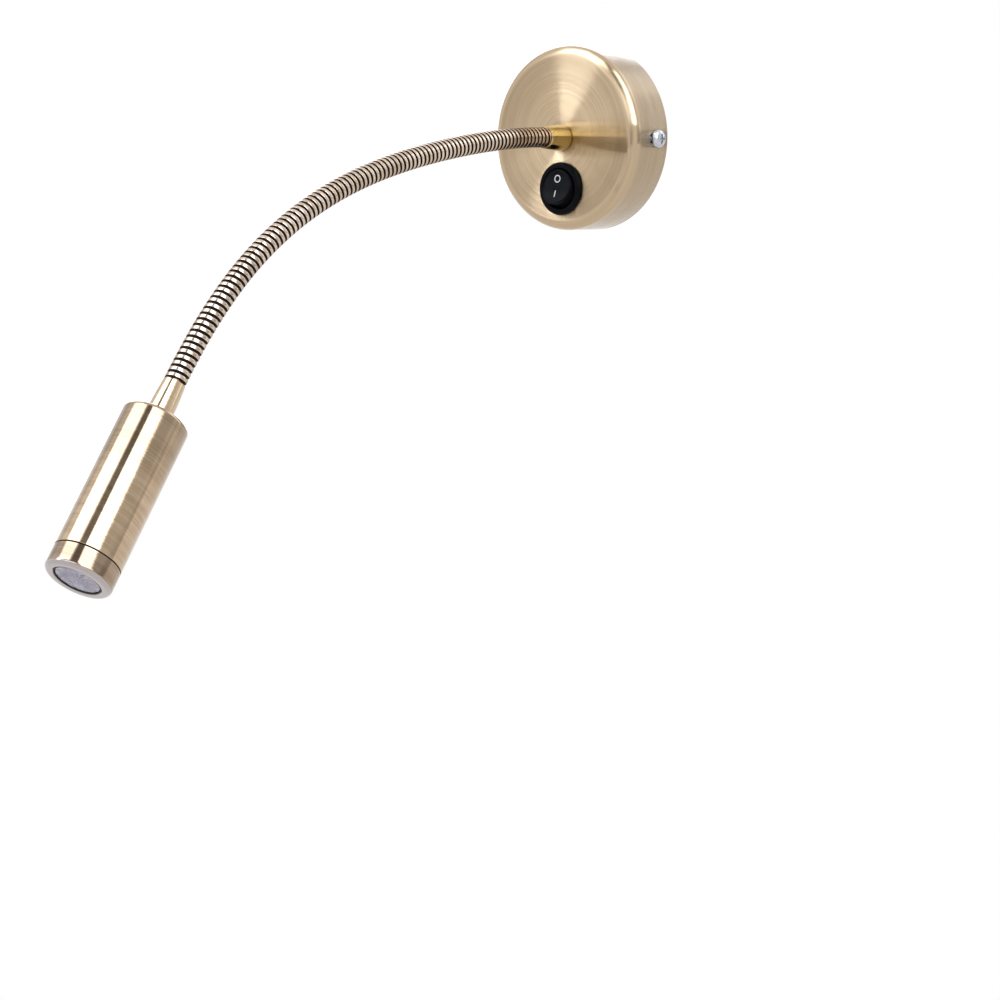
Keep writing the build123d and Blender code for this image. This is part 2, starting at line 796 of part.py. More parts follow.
# The collimating lens: a solid cone with a pocket over the LED and a flat flange.
lens_front = 70.4
lens_flange = 11.3
flange_thickness = 1.6
cone_radius = 10.0
cone_back = 55.6
pocket_top = 58.1
pocket_curve = 6.0
pocket_radius = 2.1
pocket_rim = pocket_top + pocket_curve - sqrt(pocket_curve**2 - pocket_radius**2)
with BuildPart() as lens:
    with BuildSketch(head_profile):
        with BuildLine():
            Polyline(
                (0, lens_front),
                (lens_flange, lens_front),
                (lens_flange, lens_front - flange_thickness),
                (cone_radius, lens_front - flange_thickness),
            )
            ThreePointArc((cone_radius, lens_front - flange_thickness), (7.6, 61.0), (3.6, cone_back))
            Polyline((3.6, cone_back), (2.4, cone_back), (pocket_radius, pocket_rim))
            RadiusArc((pocket_radius, pocket_rim), (0, pocket_top), pocket_curve)
            Line((0, pocket_top), (0, lens_front))
        make_face()
    revolve(axis=head_axis)
finish(lens, "lens")

# The holder stands on the board and carries the lens under its flange.
with BuildPart() as lens_holder:
    with BuildSketch(head_profile):
        with BuildLine():
            Polyline(
                (9.9, board_face),
                (housing_bore - slip_play, board_face),
                (housing_bore - slip_play, lens_front - flange_thickness),
                (10.4, lens_front - flange_thickness),
                (9.2, 61.0),
                (9.9, 58.0),
                close=True,
            )
        make_face()
    revolve(axis=head_axis)
finish(lens_holder, "lens_holder")

with BuildPart() as seal_ring:
    with BuildSketch(head_profile):
        with Locations((lens_flange - 0.55, lens_front + 0.3)):
            Rectangle(1.0, 0.6)
    revolve(axis=head_axis)
finish(seal_ring, "seal_ring")

# The bezel screws over the spigot and its lip holds the lens.
lip_back = lens_front + 0.6
with BuildPart() as bezel_ring:
    with BuildSketch(head_profile):
        with BuildLine():
            Polyline(
                (spigot_radius + thread_play, bezel_start),
                (head_radius, bezel_start),
                (head_radius, head_length - head_edge),
            )
            RadiusArc(
                (head_radius, head_length - head_edge),
                (head_radius - head_edge, head_length),
                -head_edge,
            )
            Polyline(
                (head_radius - head_edge, head_length),
                (lens_opening + 0.4, head_length),
                (lens_opening, head_length - 0.4),
                (lens_opening, lip_back),
                (housing_bore, lip_back),
                (housing_bore, spigot_end),
                (spigot_radius + thread_play, spigot_end),
                (spigot_radius + thread_play, bezel_start),
            )
        make_face()
    revolve(axis=head_axis)
finish(bezel_ring, "bezel_ring")

# The cable's last stretch, from the neck's tip to the back of the board.
with BuildPart() as head_cable:
    cable_foot = -head_ferrule_length - tip_length + cable_start
    with BuildSketch(head.offset(cable_foot)):
        RegularPolygon(cable_radius, hose_sides)
    extrude(amount=board_seat - cable_foot)
finish(head_cable, "head_cable")

print("head start", head_start, "drop", round(head_angle, 1), "degrees")
print("pivots", [tuple(round(value, 2) for value in pivot) for pivot in pivots])
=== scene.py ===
import json
from math import atan2, cos, degrees, pi, radians, sin, sqrt
import bmesh
import bpy
from mathutils import Matrix, Vector

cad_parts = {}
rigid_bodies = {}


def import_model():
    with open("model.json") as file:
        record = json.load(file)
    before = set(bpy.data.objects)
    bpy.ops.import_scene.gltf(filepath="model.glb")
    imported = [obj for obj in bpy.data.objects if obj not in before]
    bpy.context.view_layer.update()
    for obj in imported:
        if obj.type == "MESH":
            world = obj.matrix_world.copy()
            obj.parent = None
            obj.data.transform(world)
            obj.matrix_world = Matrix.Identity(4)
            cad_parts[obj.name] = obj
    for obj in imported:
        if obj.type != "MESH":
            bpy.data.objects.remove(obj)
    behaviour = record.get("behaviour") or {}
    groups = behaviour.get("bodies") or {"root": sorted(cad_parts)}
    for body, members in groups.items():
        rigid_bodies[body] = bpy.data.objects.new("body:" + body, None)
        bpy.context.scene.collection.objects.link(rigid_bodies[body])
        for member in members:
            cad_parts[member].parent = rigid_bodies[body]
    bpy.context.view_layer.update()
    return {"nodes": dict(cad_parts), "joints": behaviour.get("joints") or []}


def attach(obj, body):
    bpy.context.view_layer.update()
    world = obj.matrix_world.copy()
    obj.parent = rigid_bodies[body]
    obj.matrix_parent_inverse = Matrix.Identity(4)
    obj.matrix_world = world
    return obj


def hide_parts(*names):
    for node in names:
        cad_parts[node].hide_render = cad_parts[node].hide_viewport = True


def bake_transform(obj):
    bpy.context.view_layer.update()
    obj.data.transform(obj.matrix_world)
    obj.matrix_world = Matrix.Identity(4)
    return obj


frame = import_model()
print("frame loaded:", len(frame["nodes"]), "nodes")

mm = 0.001
across = Vector((1, 0, 0))        # the lamp bends in the plane square to this


# camera and studio

cameraView = {
    "place": (0.7663, -0.9381, -0.0062),
    "azimuth": 41.15,             # degrees round from straight in front
    "elevation": 7.31,
    "roll": 0.71,
    "lens": 97.82,
}


def addObject(name, data):
    made = bpy.data.objects.new(name, data)
    bpy.context.scene.collection.objects.link(made)
    return made


def addCamera(view):
    data = bpy.data.cameras.new("photoView")
    data.lens = view["lens"]
    data.sensor_width = 36
    camera = addObject("photoView", data)
    turn = Matrix.Rotation(radians(view["azimuth"]), 4, "Z")
    tilt = Matrix.Rotation(radians(90 - view["elevation"]), 4, "X")
    roll = Matrix.Rotation(radians(view["roll"]), 4, "Z")
    camera.matrix_world = Matrix.Translation(view["place"]) @ turn @ tilt @ roll
    bpy.context.scene.camera = camera


# shader arithmetic: a socket that takes part in Python sums

class Value:
    def __init__(self, maker, made, index=0):
        self.maker = maker
        self.made = made
        self.socket = made.outputs[index]

    def output(self, name):
        return Value(self.maker, self.made, name)

    def math(self, operation, *others):
        return self.maker.node("ShaderNodeMath", {"operation": operation}, [self, *others])

    def vector(self, operation, *others, output=0):
        settings = {"operation": operation}
        return self.maker.node("ShaderNodeVectorMath", settings, [self, *others], output)

    def scaled(self, factor):
        return self.maker.scale(self, factor)

    def __add__(self, other):
        return self.math("ADD", other)

    __radd__ = __add__

    def __sub__(self, other):
        return self.math("SUBTRACT", other)

    def __rsub__(self, other):
        return self.maker.node("ShaderNodeMath", {"operation": "SUBTRACT"}, [other, self])

    def __mul__(self, other):
        return self.math("MULTIPLY", other)

    __rmul__ = __mul__

    def __truediv__(self, other):
        return self.math("DIVIDE", other)

    def between(self, low, high):
        # 0 below low, 1 above high, smooth between them
        settings = {"interpolation_type": "SMOOTHSTEP"}
        return self.maker.node("ShaderNodeMapRange", settings, [self, low, high, 0.0, 1.0])


class Nodes:
    def __init__(self, tree):
        self.tree = tree
        tree.nodes.clear()

    def node(self, kind, settings=None, sockets=(), output=0):
        made = self.tree.nodes.new(kind)
        for name, setting in (settings or {}).items():
            if name == "curve":
                self.setCurve(made.mapping, setting)
            else:
                setattr(made, name, setting)
        named = sockets.items() if isinstance(sockets, dict) else enumerate(sockets)
        for key, item in named:
            self.feed(made.inputs[key], item)
        return None if output is None else Value(self, made, output)

    def setCurve(self, mapping, stops):
        points = mapping.curves[0].points
        while len(points) < len(stops):
            points.new(0.5, 0.5)
        for point, place in zip(points, stops):
            point.location = place
            point.handle_type = "VECTOR"
        mapping.update()

    def feed(self, socket, item):
        if isinstance(item, Value):
            self.tree.links.new(item.socket, socket)
        elif item is not None:
            if socket.type == "RGBA" and len(item) == 3:
                item = (*item, 1)
            socket.default_value = item

    def mix(self, share, first, second):
        # two colours, by share of the second
        made = self.node("ShaderNodeMix", {"data_type": "RGBA"}, (), 2)
        for index, item in ((0, share), (6, first), (7, second)):
            self.feed(made.made.inputs[index], item)
        return made

    def scale(self, vector, factor):
        return self.node("ShaderNodeVectorMath", {"operation": "SCALE"}, {0: vector, "Scale": factor})

    def noise(self, place, scale, detail, roughness):
        sockets = {"Vector": place, "Scale": scale, "Detail": detail, "Roughness": roughness}
        return self.node("ShaderNodeTexNoise", None, sockets)

    def finish(self, kind, surface):
        self.node(kind, None, {"Surface": surface}, None)

    def principled(self, sockets):
        self.finish("ShaderNodeOutputMaterial", self.node("ShaderNodeBsdfPrincipled", None, sockets))


def newMaterial(name):
    material = bpy.data.materials.new(name)
    material.use_nodes = True
    return material, Nodes(material.node_tree)


# the studio round the lamp: two soft boxes, panels and flags, as the metal sees them

studio = {
    "level": 1.1,
    "diffuse": 0.85,
    "panelTint": (0.90, 1.0, 1.14),
    # strength, azimuth from and to, elevation from and to, softness; azimuth 0 is straight out
    # from the wall and 90 is towards +X, all in degrees; the floor hides what lies under it
    "panels": [
        (3.8, 44, 91.5, 14, 74, 1.5),
        (2.5, -45, -29, 8, 26, 3),
        (3.6, -53, -21, 26, 42, 3),
        (3.2, -70, -3, 42, 70, 3),
        (0.9, -15, 24, 10, 31, 4),
        (2.2, -152, -120, -22, 34, 6),
        (0.3, -122, -98, -24, 44, 8),
        (1.9, 142, 157, 6, 44, 3),
        (1.5, 157, 182, 31, 48, 5),
    ],
    # how much light a flag takes away, then its place as above
    "flags": [
        (0.72, 6, 41, 33, 90, 2),
        (0.45, 0, 40, -14, 8, 6),
        (0.50, 100, 136, -18, 8, 6),
        (0.30, 95, 125, -10, 42, 4),
        (0.42, 152, 181, -34, 24, 8),
        (0.28, -118, -84, 2, 32, 5),
    ],
}


def addWorld(plan):
    world = bpy.data.worlds.new("studio")
    world.use_nodes = True
    bpy.context.scene.world = world
    sh = Nodes(world.node_tree)
    toward = sh.node("ShaderNodeTexCoord").output("Generated")
    split = sh.node("ShaderNodeSeparateXYZ", None, [toward])
    x, y, z = split.output("X"), split.output("Y"), split.output("Z")
    azimuth = x.math("ARCTAN2", y * -1.0) * degrees(1)
    elevation = z.math("ARCSINE") * degrees(1)

    def within(angle, low, high, soft):
        return angle.between(low - soft, low + soft) - angle.between(high - soft, high + soft)

    def area(fromAz, toAz, fromEl, toEl, soft):
        return within(azimuth, fromAz, toAz, soft) * within(elevation, fromEl, toEl, soft)

    panelLight = 0.0
    for strength, *place in plan["panels"]:
        panelLight = area(*place) * strength + panelLight
    light = panelLight + plan["level"]
    tinted = sh.mix(panelLight / light, (1, 1, 1), plan["panelTint"])
    for share, *place in plan["flags"]:
        light = light * (1 - area(*place) * share)
    rays = sh.node("ShaderNodeLightPath")
    glossy = rays.output("Is Glossy Ray")
    white = rays.output("Is Camera Ray").math("MAXIMUM", rays.output("Is Transmission Ray"))
    plain = glossy * light + (1 - glossy) * plan["diffuse"]
    strength = white + (1 - white) * plain
    colour = sh.mix(white, tinted, (1, 1, 1))
    background = sh.node("ShaderNodeBackground", None, {"Color": colour, "Strength": strength})
    sh.finish("ShaderNodeOutputWorld", background)


floorPlan = {"height": -0.5, "size": 12.0, "albedo": 0.9}

softBoxes = {
    "aim": (0, -0.1, -0.05),
    "size": 0.8,
    # where each one stands and its power in watts
    "boxes": {"keySoftBox": ((-0.9, -1.3, 1.1), 9), "fillSoftBox": ((1.3, -1.1, 0.9), 7)},
}


def addFloor(plan):
    mesh = bpy.data.meshes.new("floor")
    half = plan["size"] / 2
    corners = [(-half, -half), (half, -half), (half, half), (-half, half)]
    mesh.from_pydata([(x, y, plan["height"]) for x, y in corners], [], [(0, 1, 2, 3)])
    floor = addObject("floor", mesh)
    material, sh = newMaterial("paleFloor")
    rays = sh.node("ShaderNodeLightPath")
    seen = rays.output("Is Camera Ray")
    for name in ("Is Glossy Ray", "Is Transmission Ray"):
        seen = seen.math("MAXIMUM", rays.output(name))
    matt = sh.node("ShaderNodeBsdfDiffuse", None, {"Color": (plan["albedo"],) * 3})
    white = sh.node("ShaderNodeEmission", None, {"Color": (1, 1, 1), "Strength": 1.0})
    above = sh.node("ShaderNodeMixShader", None, [seen, matt, white])
    below = sh.node("ShaderNodeNewGeometry").output("Backfacing")  # seen through from below
    clear = sh.node("ShaderNodeBsdfTransparent")
    sh.finish("ShaderNodeOutputMaterial", sh.node("ShaderNodeMixShader", None, [below, above, clear]))
    mesh.materials.append(material)


def addSoftBoxes(plan):
    for name, (place, power) in plan["boxes"].items():
        data = bpy.data.lights.new(name, "AREA")
        data.shape = "DISK"
        data.size = plan["size"]
        data.energy = power
        lamp = addObject(name, data)
        aim = (Vector(plan["aim"]) - Vector(place)).to_track_quat("-Z", "Y")
        lamp.matrix_world = Matrix.Translation(place) @ aim.to_matrix().to_4x4()
        lamp.visible_glossy = False
        lamp.visible_transmission = False
        lamp.visible_camera = False


addCamera(cameraView)
addWorld(studio)
addFloor(floorPlan)
addSoftBoxes(softBoxes)
bpy.context.scene.view_settings.view_transform = "Standard"
print("camera and studio ready")


# materials

reliefDepth = 0.00002             # how deep the bump of a grain is at strength 1, in metres
bloomRange = (0.3, 0.7)           # the noise's useful part, from the first colour to the second

# what all brushed finishes share: lines for each mm, how short a line is, the noise's detail
# and roughness, and how much the noise shows in the tone
brushing = {
    "lathe": {"reach": 0.15, "detail": 3.0, "rough": 0.7, "tone": 0.9},
    "broken": {"detail": 2.0, "rough": 0.7, "tone": 0.7},
    "broad": {"lines": 0.35, "reach": 0.7, "detail": 2.0, "rough": 0.6, "tone": 0.8},
    "slant": (0.37, -0.71),       # so that the noise doesn't repeat along its own axes
    "edgeCalm": 0.6,              # how much of the tiny tilts a rounded edge loses
    "roughnessSwing": 0.08,
    # the brown of the painted shade that darkens part of a turned profile
    "paintedShadeColour": (0.10, 0.06, 0.03),
    # the band of painted light at the front of a profile: how soft its edge is, and how much of its
    # colour shows
    "paintedLightSoft": 0.2,
    "paintedLightShare": 0.95,
    "lacquerRoughness": 0.12,
}


def objectPlace(sh):
    # the place on the object, in millimetres
    return sh.node("ShaderNodeTexCoord").output("Object").scaled(1 / mm)


def turnedGrain(sh, plan):
    # lathe lines round an axis: where a point is along the profile and the way across the lines
    axis = Vector(plan["axis"])
    place = objectPlace(sh).vector("SUBTRACT", tuple(Vector(plan["centre"]) / mm))
    along = place.vector("DOT_PRODUCT", tuple(axis), output=1)
    outward = place.vector("SUBTRACT", sh.scale(tuple(axis), along))
    line = outward.vector("LENGTH", output=1) - along
    normal = sh.node("ShaderNodeTexCoord").output("Normal")
    around = sh.node("ShaderNodeVectorMath", {"operation": "CROSS_PRODUCT"}, [tuple(axis), outward])
    acrossLines = normal.vector("CROSS_PRODUCT", around.vector("NORMALIZE"))
    outward = outward.vector("NORMALIZE")
    return {"line": line, "outward": outward, "normal": normal, "acrossLines": acrossLines}


def scratches(sh, grain, fineness, reach, look):
    # noise drawn out round the axis: fineness is lines for each mm, reach how short a line is
    lines = grain["line"] * fineness
    slants = [lines * slant for slant in brushing["slant"]]
    slanted = sh.node("ShaderNodeCombineXYZ", None, [lines, *slants])
    place = grain["outward"].scaled(reach).vector("ADD", slanted)
    return sh.noise(place, 1.0, look["detail"], look["rough"]) - 0.5


def brushedBrass(name, plan):
    # brushed lines below a pixel's size only spread a reflection across them, so a grain of tiny
    # tilts stands for them, and the lines that show are drawn over it
    material, sh = newMaterial(name)
    grain = turnedGrain(sh, plan)
    dust = sh.node("ShaderNodeTexWhiteNoise", None, {"Vector": objectPlace(sh)}).output("Color")
    spread = sh.node("ShaderNodeSeparateXYZ", None, [dust]).output("X") * 2.0 - 1.0
    lathe, broken, broad = brushing["lathe"], brushing["broken"], brushing["broad"]
    latheMark = scratches(sh, grain, plan["latheLines"], lathe["reach"], lathe)
    brokenMark = scratches(sh, grain, plan["scratchLines"], plan["scratchReach"], broken)
    broadMark = scratches(sh, grain, broad["lines"], broad["reach"], broad)
    edge = 0.0
    if "edgeFrom" in plan:
        edge = grain["line"].between(*plan["edgeFrom"]) - grain["line"].between(*plan["edgeTo"])
    tilt = spread * plan["spread"] * (1 - edge * brushing["edgeCalm"])
    tilt = tilt + latheMark * plan["lineTilt"] + brokenMark * plan["scratchTilt"]
    bent = grain["normal"].vector("ADD", grain["acrossLines"].scaled(tilt)).vector("NORMALIZE")
    toWorld = {"vector_type": "NORMAL", "convert_from": "OBJECT", "convert_to": "WORLD"}
    normal = sh.node("ShaderNodeVectorTransform", toWorld, [bent])
    tone = broadMark * broad["tone"] + latheMark * lathe["tone"] + brokenMark * broken["tone"]
    tone = tone * plan["contrast"] + 0.5
    colour = sh.mix(tone.between(0.0, 1.0), plan["dark"], plan["pale"])
    # painted shade: the brass darkens over a span of its profile, outwards and towards the back, but
    # not on the rounded edge
    if "paintedShade" in plan:
        paintedShadeShare = grain["line"].between(*plan["paintedShadeOver"]) * plan["paintedShade"] * (1 - edge)
        colour = sh.mix(paintedShadeShare, colour, brushing["paintedShadeColour"])
    # painted light in a band at the front of the profile: painted shade in the wall ferrule's mouth and
    # in the head's groove, a painted pale reflection on the bezel's face
    if "bandUnder" in plan:
        band = 1 - grain["line"].between(plan["bandUnder"] - brushing["paintedLightSoft"], plan["bandUnder"])
        colour = sh.mix(band * brushing["paintedLightShare"], colour, plan["bandColour"])
    swing = brushing["roughnessSwing"]
    roughness = plan["roughness"] + broadMark * swing + brokenMark * swing
    sh.principled({
        "Base Color": colour,
        "Metallic": 1.0,
        "Roughness": roughness,
        "Normal": normal,
        "Coat Weight": plan["lacquer"],
        "Coat Roughness": brushing["lacquerRoughness"],
    })
    return material


def relief(sh, strength, height):
    sockets = {"Strength": strength, "Distance": reliefDepth, "Height": height}
    return sh.node("ShaderNodeBump", None, sockets)


# plain finishes: detail and roughness of the broad noise and of the fine one, the scale of one
# of them against grainSize, and how much the bloom moves the roughness
mottle = {
    "metal": {"bloom": (4.0, 0.6), "fine": (2.0, 0.6), "fineScale": 6, "swing": 0.2},
    "plastic": {"bloom": (3.0, 0.6), "fine": (3.0, 0.6), "bloomScale": 0.12, "swing": 0.12},
}


def plainMetal(name, colours, roughness, grainSize, strength):
    # cast, plated or stamped metal with a faint uneven bloom and a finer speckle on it
    material, sh = newMaterial(name)
    place = objectPlace(sh)
    look = mottle["metal"]
    bloom = sh.noise(place, grainSize, *look["bloom"])
    speck = sh.noise(place, grainSize * look["fineScale"], *look["fine"])
    colour = sh.mix(bloom.between(*bloomRange), *colours)
    sh.principled({
        "Base Color": colour,
        "Metallic": 1.0,
        "Roughness": roughness + (bloom - 0.5) * look["swing"],
        "Normal": relief(sh, strength, speck),
    })
    return material


def plastic(name, colours, roughness, strength=0.3, grainSize=3.0, specular=0.5, ior=1.5):
    # moulded plastic: a fine grain on it and a broad bloom in its colour
    material, sh = newMaterial(name)
    place = objectPlace(sh)
    look = mottle["plastic"]
    bloom = sh.noise(place, grainSize * look["bloomScale"], *look["bloom"])
    grain = sh.noise(place, grainSize, *look["fine"])
    colour = sh.mix(bloom.between(*bloomRange), *colours)
    sh.principled({
        "Base Color": colour,
        "Roughness": roughness + (bloom - 0.5) * look["swing"],
        "Normal": relief(sh, strength, grain),
        "Specular IOR Level": specular,
        "IOR": ior,
    })
    return material


def neckBrass(name, plan):
    # plated winding: polished on its crown, with painted shade in the gap, by the rib's own height
    material, sh = newMaterial(name)
    height = sh.node("ShaderNodeAttribute", {"attribute_name": "ribHeight"}).output("Fac")
    place = objectPlace(sh)
    bloom = sh.noise(place, plan["bloomSize"], *plan["bloomNoise"])
    scuff = sh.noise(place, plan["scuffSize"], *plan["scuffNoise"])
    worn = bloom * (1 - plan["scuffShare"]) + scuff * plan["scuffShare"]
    crown = sh.mix(worn.between(*bloomRange), plan["dark"], plan["pale"])
    # painted shade in the gap between the ribs: the gap's near-black colour below gapFrom, the crown
    # above gapTo
    aboveGapShade = height.between(plan["gapFrom"], plan["gapTo"])
    polish = aboveGapShade * (plan["gapRoughness"] - plan["crownRoughness"])
    sh.principled({
        "Base Color": sh.mix(aboveGapShade, plan["gap"], crown),
        "Metallic": aboveGapShade,
        "Specular Tint": plan["gapSheen"],
        "Specular IOR Level": plan["gapSpecular"],
        "Roughness": plan["gapRoughness"] - polish + (scuff - 0.5) * plan["roughnessSwing"],
        "Normal": relief(sh, plan["scuffRelief"], scuff),
    })
    return material


def lensClear(name, plan):
    # moulded lens: haze in its colour and its polish
    material, sh = newMaterial(name)
    haze = sh.noise(objectPlace(sh), plan["hazeSize"], *plan["hazeNoise"])
    sh.principled({
        "Base Color": sh.mix(haze.between(*plan["hazeRange"]), plan["dark"], plan["pale"]),
        "Roughness": plan["roughness"] + haze * plan["hazeRoughness"],
        "Transmission Weight": plan["transmission"],
        "IOR": plan["ior"],
    })
    return material


# mesh tools

mergeDistance = 1e-7              # points nearer than this, in metres, are one


def addPiece(name, mesh, material):
    piece = addObject(name, mesh)
    mesh.materials.clear()
    mesh.materials.append(material)
    return piece


def smoothShading(mesh, sharp):
    mesh.shade_smooth()
    mesh.set_sharp_from_angle(angle=radians(sharp))


def arc(centre, radius, start, end, steps):
    # profile points on an arc, angles in degrees from the radius towards the axis direction
    turns = [radians(start + (end - start) * step / steps) for step in range(steps + 1)]
    return [(centre[0] + radius * cos(turn), centre[1] + radius * sin(turn)) for turn in turns]


def turnsRound(sides):
    return [2 * pi * index / sides for index in range(sides)]


def joinRings(bm, near, far):
    for index in range(len(near)):
        after = (index + 1) % len(near)
        bm.faces.new((near[index], near[after], far[after], far[index]))


def closedMesh(bm, name):
    # the finished mesh, its faces pointing outwards
    bmesh.ops.recalc_face_normals(bm, faces=bm.faces)
    mesh = bpy.data.meshes.new(name)
    bm.to_mesh(mesh)
    bm.free()
    return mesh


def turnedMesh(name, profile, origin, axis, sides):
    # a closed profile of (radius, distance along the axis) in mm, turned about the axis
    axis = Vector(axis)
    first = axis.orthogonal().normalized()
    side = axis.cross(first)
    bm = bmesh.new()
    rings = []
    for radius, along in profile:
        ring = []
        for turn in turnsRound(sides):
            outward = first * cos(turn) + side * sin(turn)
            ring.append(bm.verts.new(Vector(origin) + (outward * radius + axis * along) * mm))
        rings.append(ring)
    for near, far in zip(rings, rings[1:] + rings[:1]):
        joinRings(bm, near, far)
    bmesh.ops.remove_doubles(bm, verts=bm.verts, dist=mergeDistance)
    bmesh.ops.dissolve_degenerate(bm, dist=mergeDistance, edges=bm.edges)
    return closedMesh(bm, name)


def turnedPiece(name, profile, origin, axis, material, sides, sharp):
    piece = addPiece(name, turnedMesh(name, profile, origin, axis, sides), material)
    smoothShading(piece.data, sharp)
    return piece


def evaluatedMesh(piece):
    graph = bpy.context.evaluated_depsgraph_get()
    return bpy.data.meshes.new_from_object(piece.evaluated_get(graph))


def applyModifiers(piece):
    mesh = evaluatedMesh(piece)
    piece.modifiers.clear()
    old = piece.data
    piece.data = mesh
    mesh.name = old.name
    bpy.data.meshes.remove(old)


def cutAway(piece, cutters):
    for cutter in cutters:
        modifier = piece.modifiers.new("cut", "BOOLEAN")
        modifier.operation = "DIFFERENCE"
        modifier.solver = "EXACT"
        modifier.object = cutter
    applyModifiers(piece)
    for cutter in cutters:
        bpy.data.objects.remove(cutter)


def easedEdges(piece, width, angle):
    # small rounded edges, so that they catch the light
    modifier = piece.modifiers.new("edges", "BEVEL")
    modifier.width = width * mm
    modifier.segments = 2
    modifier.limit_method = "ANGLE"
    modifier.angle_limit = radians(angle)
    applyModifiers(piece)


def cutBlock(outline, origin, right, rise, depthFrom, depthTo):
    # a closed block to cut with: an outline in mm, drawn out along right x rise
    right, rise, origin = Vector(right), Vector(rise), Vector(origin)
    out = right.cross(rise)
    bm = bmesh.new()
    rings = []
    for depth in (depthFrom, depthTo):
        places = [origin + (right * x + rise * y + out * depth) * mm for x, y in outline]
        rings.append([bm.verts.new(place) for place in places])
    bm.faces.new(rings[0])
    bm.faces.new(rings[1])
    joinRings(bm, *rings)
    return addObject("cutter", closedMesh(bm, "cutter"))


def circleOutline(radius, sides):
    return [(radius * cos(turn), radius * sin(turn)) for turn in turnsRound(sides)]


def slotOutline(length, width, steps=16):
    # a slot along the first direction with round ends
    half, radius = (length - width) / 2, width / 2
    return arc((half, 0), radius, -90, 90, steps) + arc((-half, 0), radius, 90, 270, steps)


# canopy

outFromWall = Vector((0, -1, 0))
wallPoint = Vector((0, 0, 0))
up = Vector((0, 0, 1))

canopy = {
    "radius": 40.0,
    "depth": 23.0,
    "wall": 1.2,
    "edge": 4.2,
    "neckHole": 5.15,
    "switchDrop": 22.0,
    "switchHole": 10.2,
    "slotOut": 7.0,
    "slotLength": 10.8,
    "slotWidth": 6.2,
    "openingReach": (-4, 3),      # from where to where the cutters reach, through the wall
    "slotReach": (-4, 4),
    "ease": 0.15,                 # how much its cut edges are rounded
    "straight": 0.4,              # share of the depth up to the rim's middle ring
    "faceRings": (0.8, 0.6, 0.4, 0.2),
    "sides": 256,
}

switchPoint = Vector((0, 0, -canopy["switchDrop"] * mm))

canopyFinish = {
    "centre": (0, 0, 0),
    "axis": (0, -1, 0),
    "dark": (0.43, 0.32, 0.20),
    "pale": (0.55, 0.42, 0.275),
    # painted shade: darker out towards the rim, and on the rim
    "paintedShade": 0.24,
    "paintedShadeOver": (-10, 12),
    "edgeFrom": (12.2, 13.4),     # the rounded edge, left out of the painted shade, so brighter than the face and the rim
    "edgeTo": (20.0, 23.0),
    "contrast": 1.3,
    "roughness": 0.08,
    "spread": 0.42,
    "latheLines": 2.4,
    "lineTilt": 0.22,
    "scratchLines": 6.0,
    "scratchReach": 0.8,
    "scratchTilt": 0.12,
    "lacquer": 0.2,
}


def makeCanopy(plan, material):
    outer, wall, edge, depth = plan["radius"], plan["wall"], plan["edge"], plan["depth"]
    hole = plan["neckHole"]
    profile = [(outer - wall, 0), (outer, 0), (outer, depth * plan["straight"])]
    profile += arc((outer - edge, depth - edge), edge, 0, 90, steps=14)
    profile += [(hole + (outer - edge - hole) * share, depth) for share in plan["faceRings"]]
    profile += [(hole, depth), (hole, depth - wall)]
    profile += arc((outer - edge, depth - edge), edge - wall, 90, 0, steps=8)
    cup = turnedMesh("canopyCup", profile, wallPoint, outFromWall, plan["sides"])
    piece = addPiece("canopyCup", cup, material)
    outline = circleOutline(plan["switchHole"], sides=96)
    back, front = plan["openingReach"]
    cutters = [cutBlock(outline, switchPoint, across, up, depth + back, depth + front)]
    outline = slotOutline(plan["slotLength"], plan["slotWidth"])
    for side in (-1, 1):
        place = Vector((side * outer, -plan["slotOut"], 0)) * mm
        cutters.append(cutBlock(outline, place, outFromWall * side, up, *plan["slotReach"]))
    cutAway(piece, cutters)
    easedEdges(piece, plan["ease"], angle=55)
    smoothShading(piece.data, sharp=40)
    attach(piece, "base")
    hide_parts("canopy")


makeCanopy(canopy, brushedBrass("brushedBrassCanopy", canopyFinish))
print("canopy made")


# ferrules at the two ends of the neck

ferruleFinish = {
    "dark": (0.46, 0.345, 0.13),
    "pale": (0.60, 0.46, 0.20),
    "contrast": 1.0,
    "roughness": 0.10,
    "spread": 0.08,
    "latheLines": 2.4,
    "lineTilt": 0.05,
    "scratchLines": 3.4,
    "scratchReach": 1.0,
    "scratchTilt": 0.05,
    "lacquer": 0.3,
}

baseFerrule = {
    # radius and distance out from the wall, in mm, round the closed profile
    "nipple": [(2.4, 9.5), (5.0, 9.5), (5.0, 23.0)],
    "foot": [(5.2, 23.0), (5.55, 23.35)],
    "flare": ((5.65, 24.1), (5.4, 29.5), (4.7, 35.2)),
    "mouth": [(4.58, 35.42), (4.38, 35.5)],
    "socket": [(3.65, 35.5), (3.65, 28.5), (2.4, 28.5)],
    "finish": {"bandUnder": -30.6, "bandColour": (0.16, 0.10, 0.04)},  # painted shade in the mouth
}

headFerrule = {
    # the same, from the head's back face
    "nipple": [(4.0, 9.0), (4.0, 0)],
    "foot": [(4.8, 0)],
    "flare": ((5.15, -0.9), (4.95, -8.25), (4.5, -16.2)),
    "mouth": [(4.2, -16.5)],
    "socket": [(3.65, -16.5), (3.65, -9.5), (2.4, -9.5), (2.4, 9.0)],
    # less golden than the one at the wall
    "finish": {"dark": (0.52, 0.385, 0.25), "pale": (0.64, 0.485, 0.33)},
}


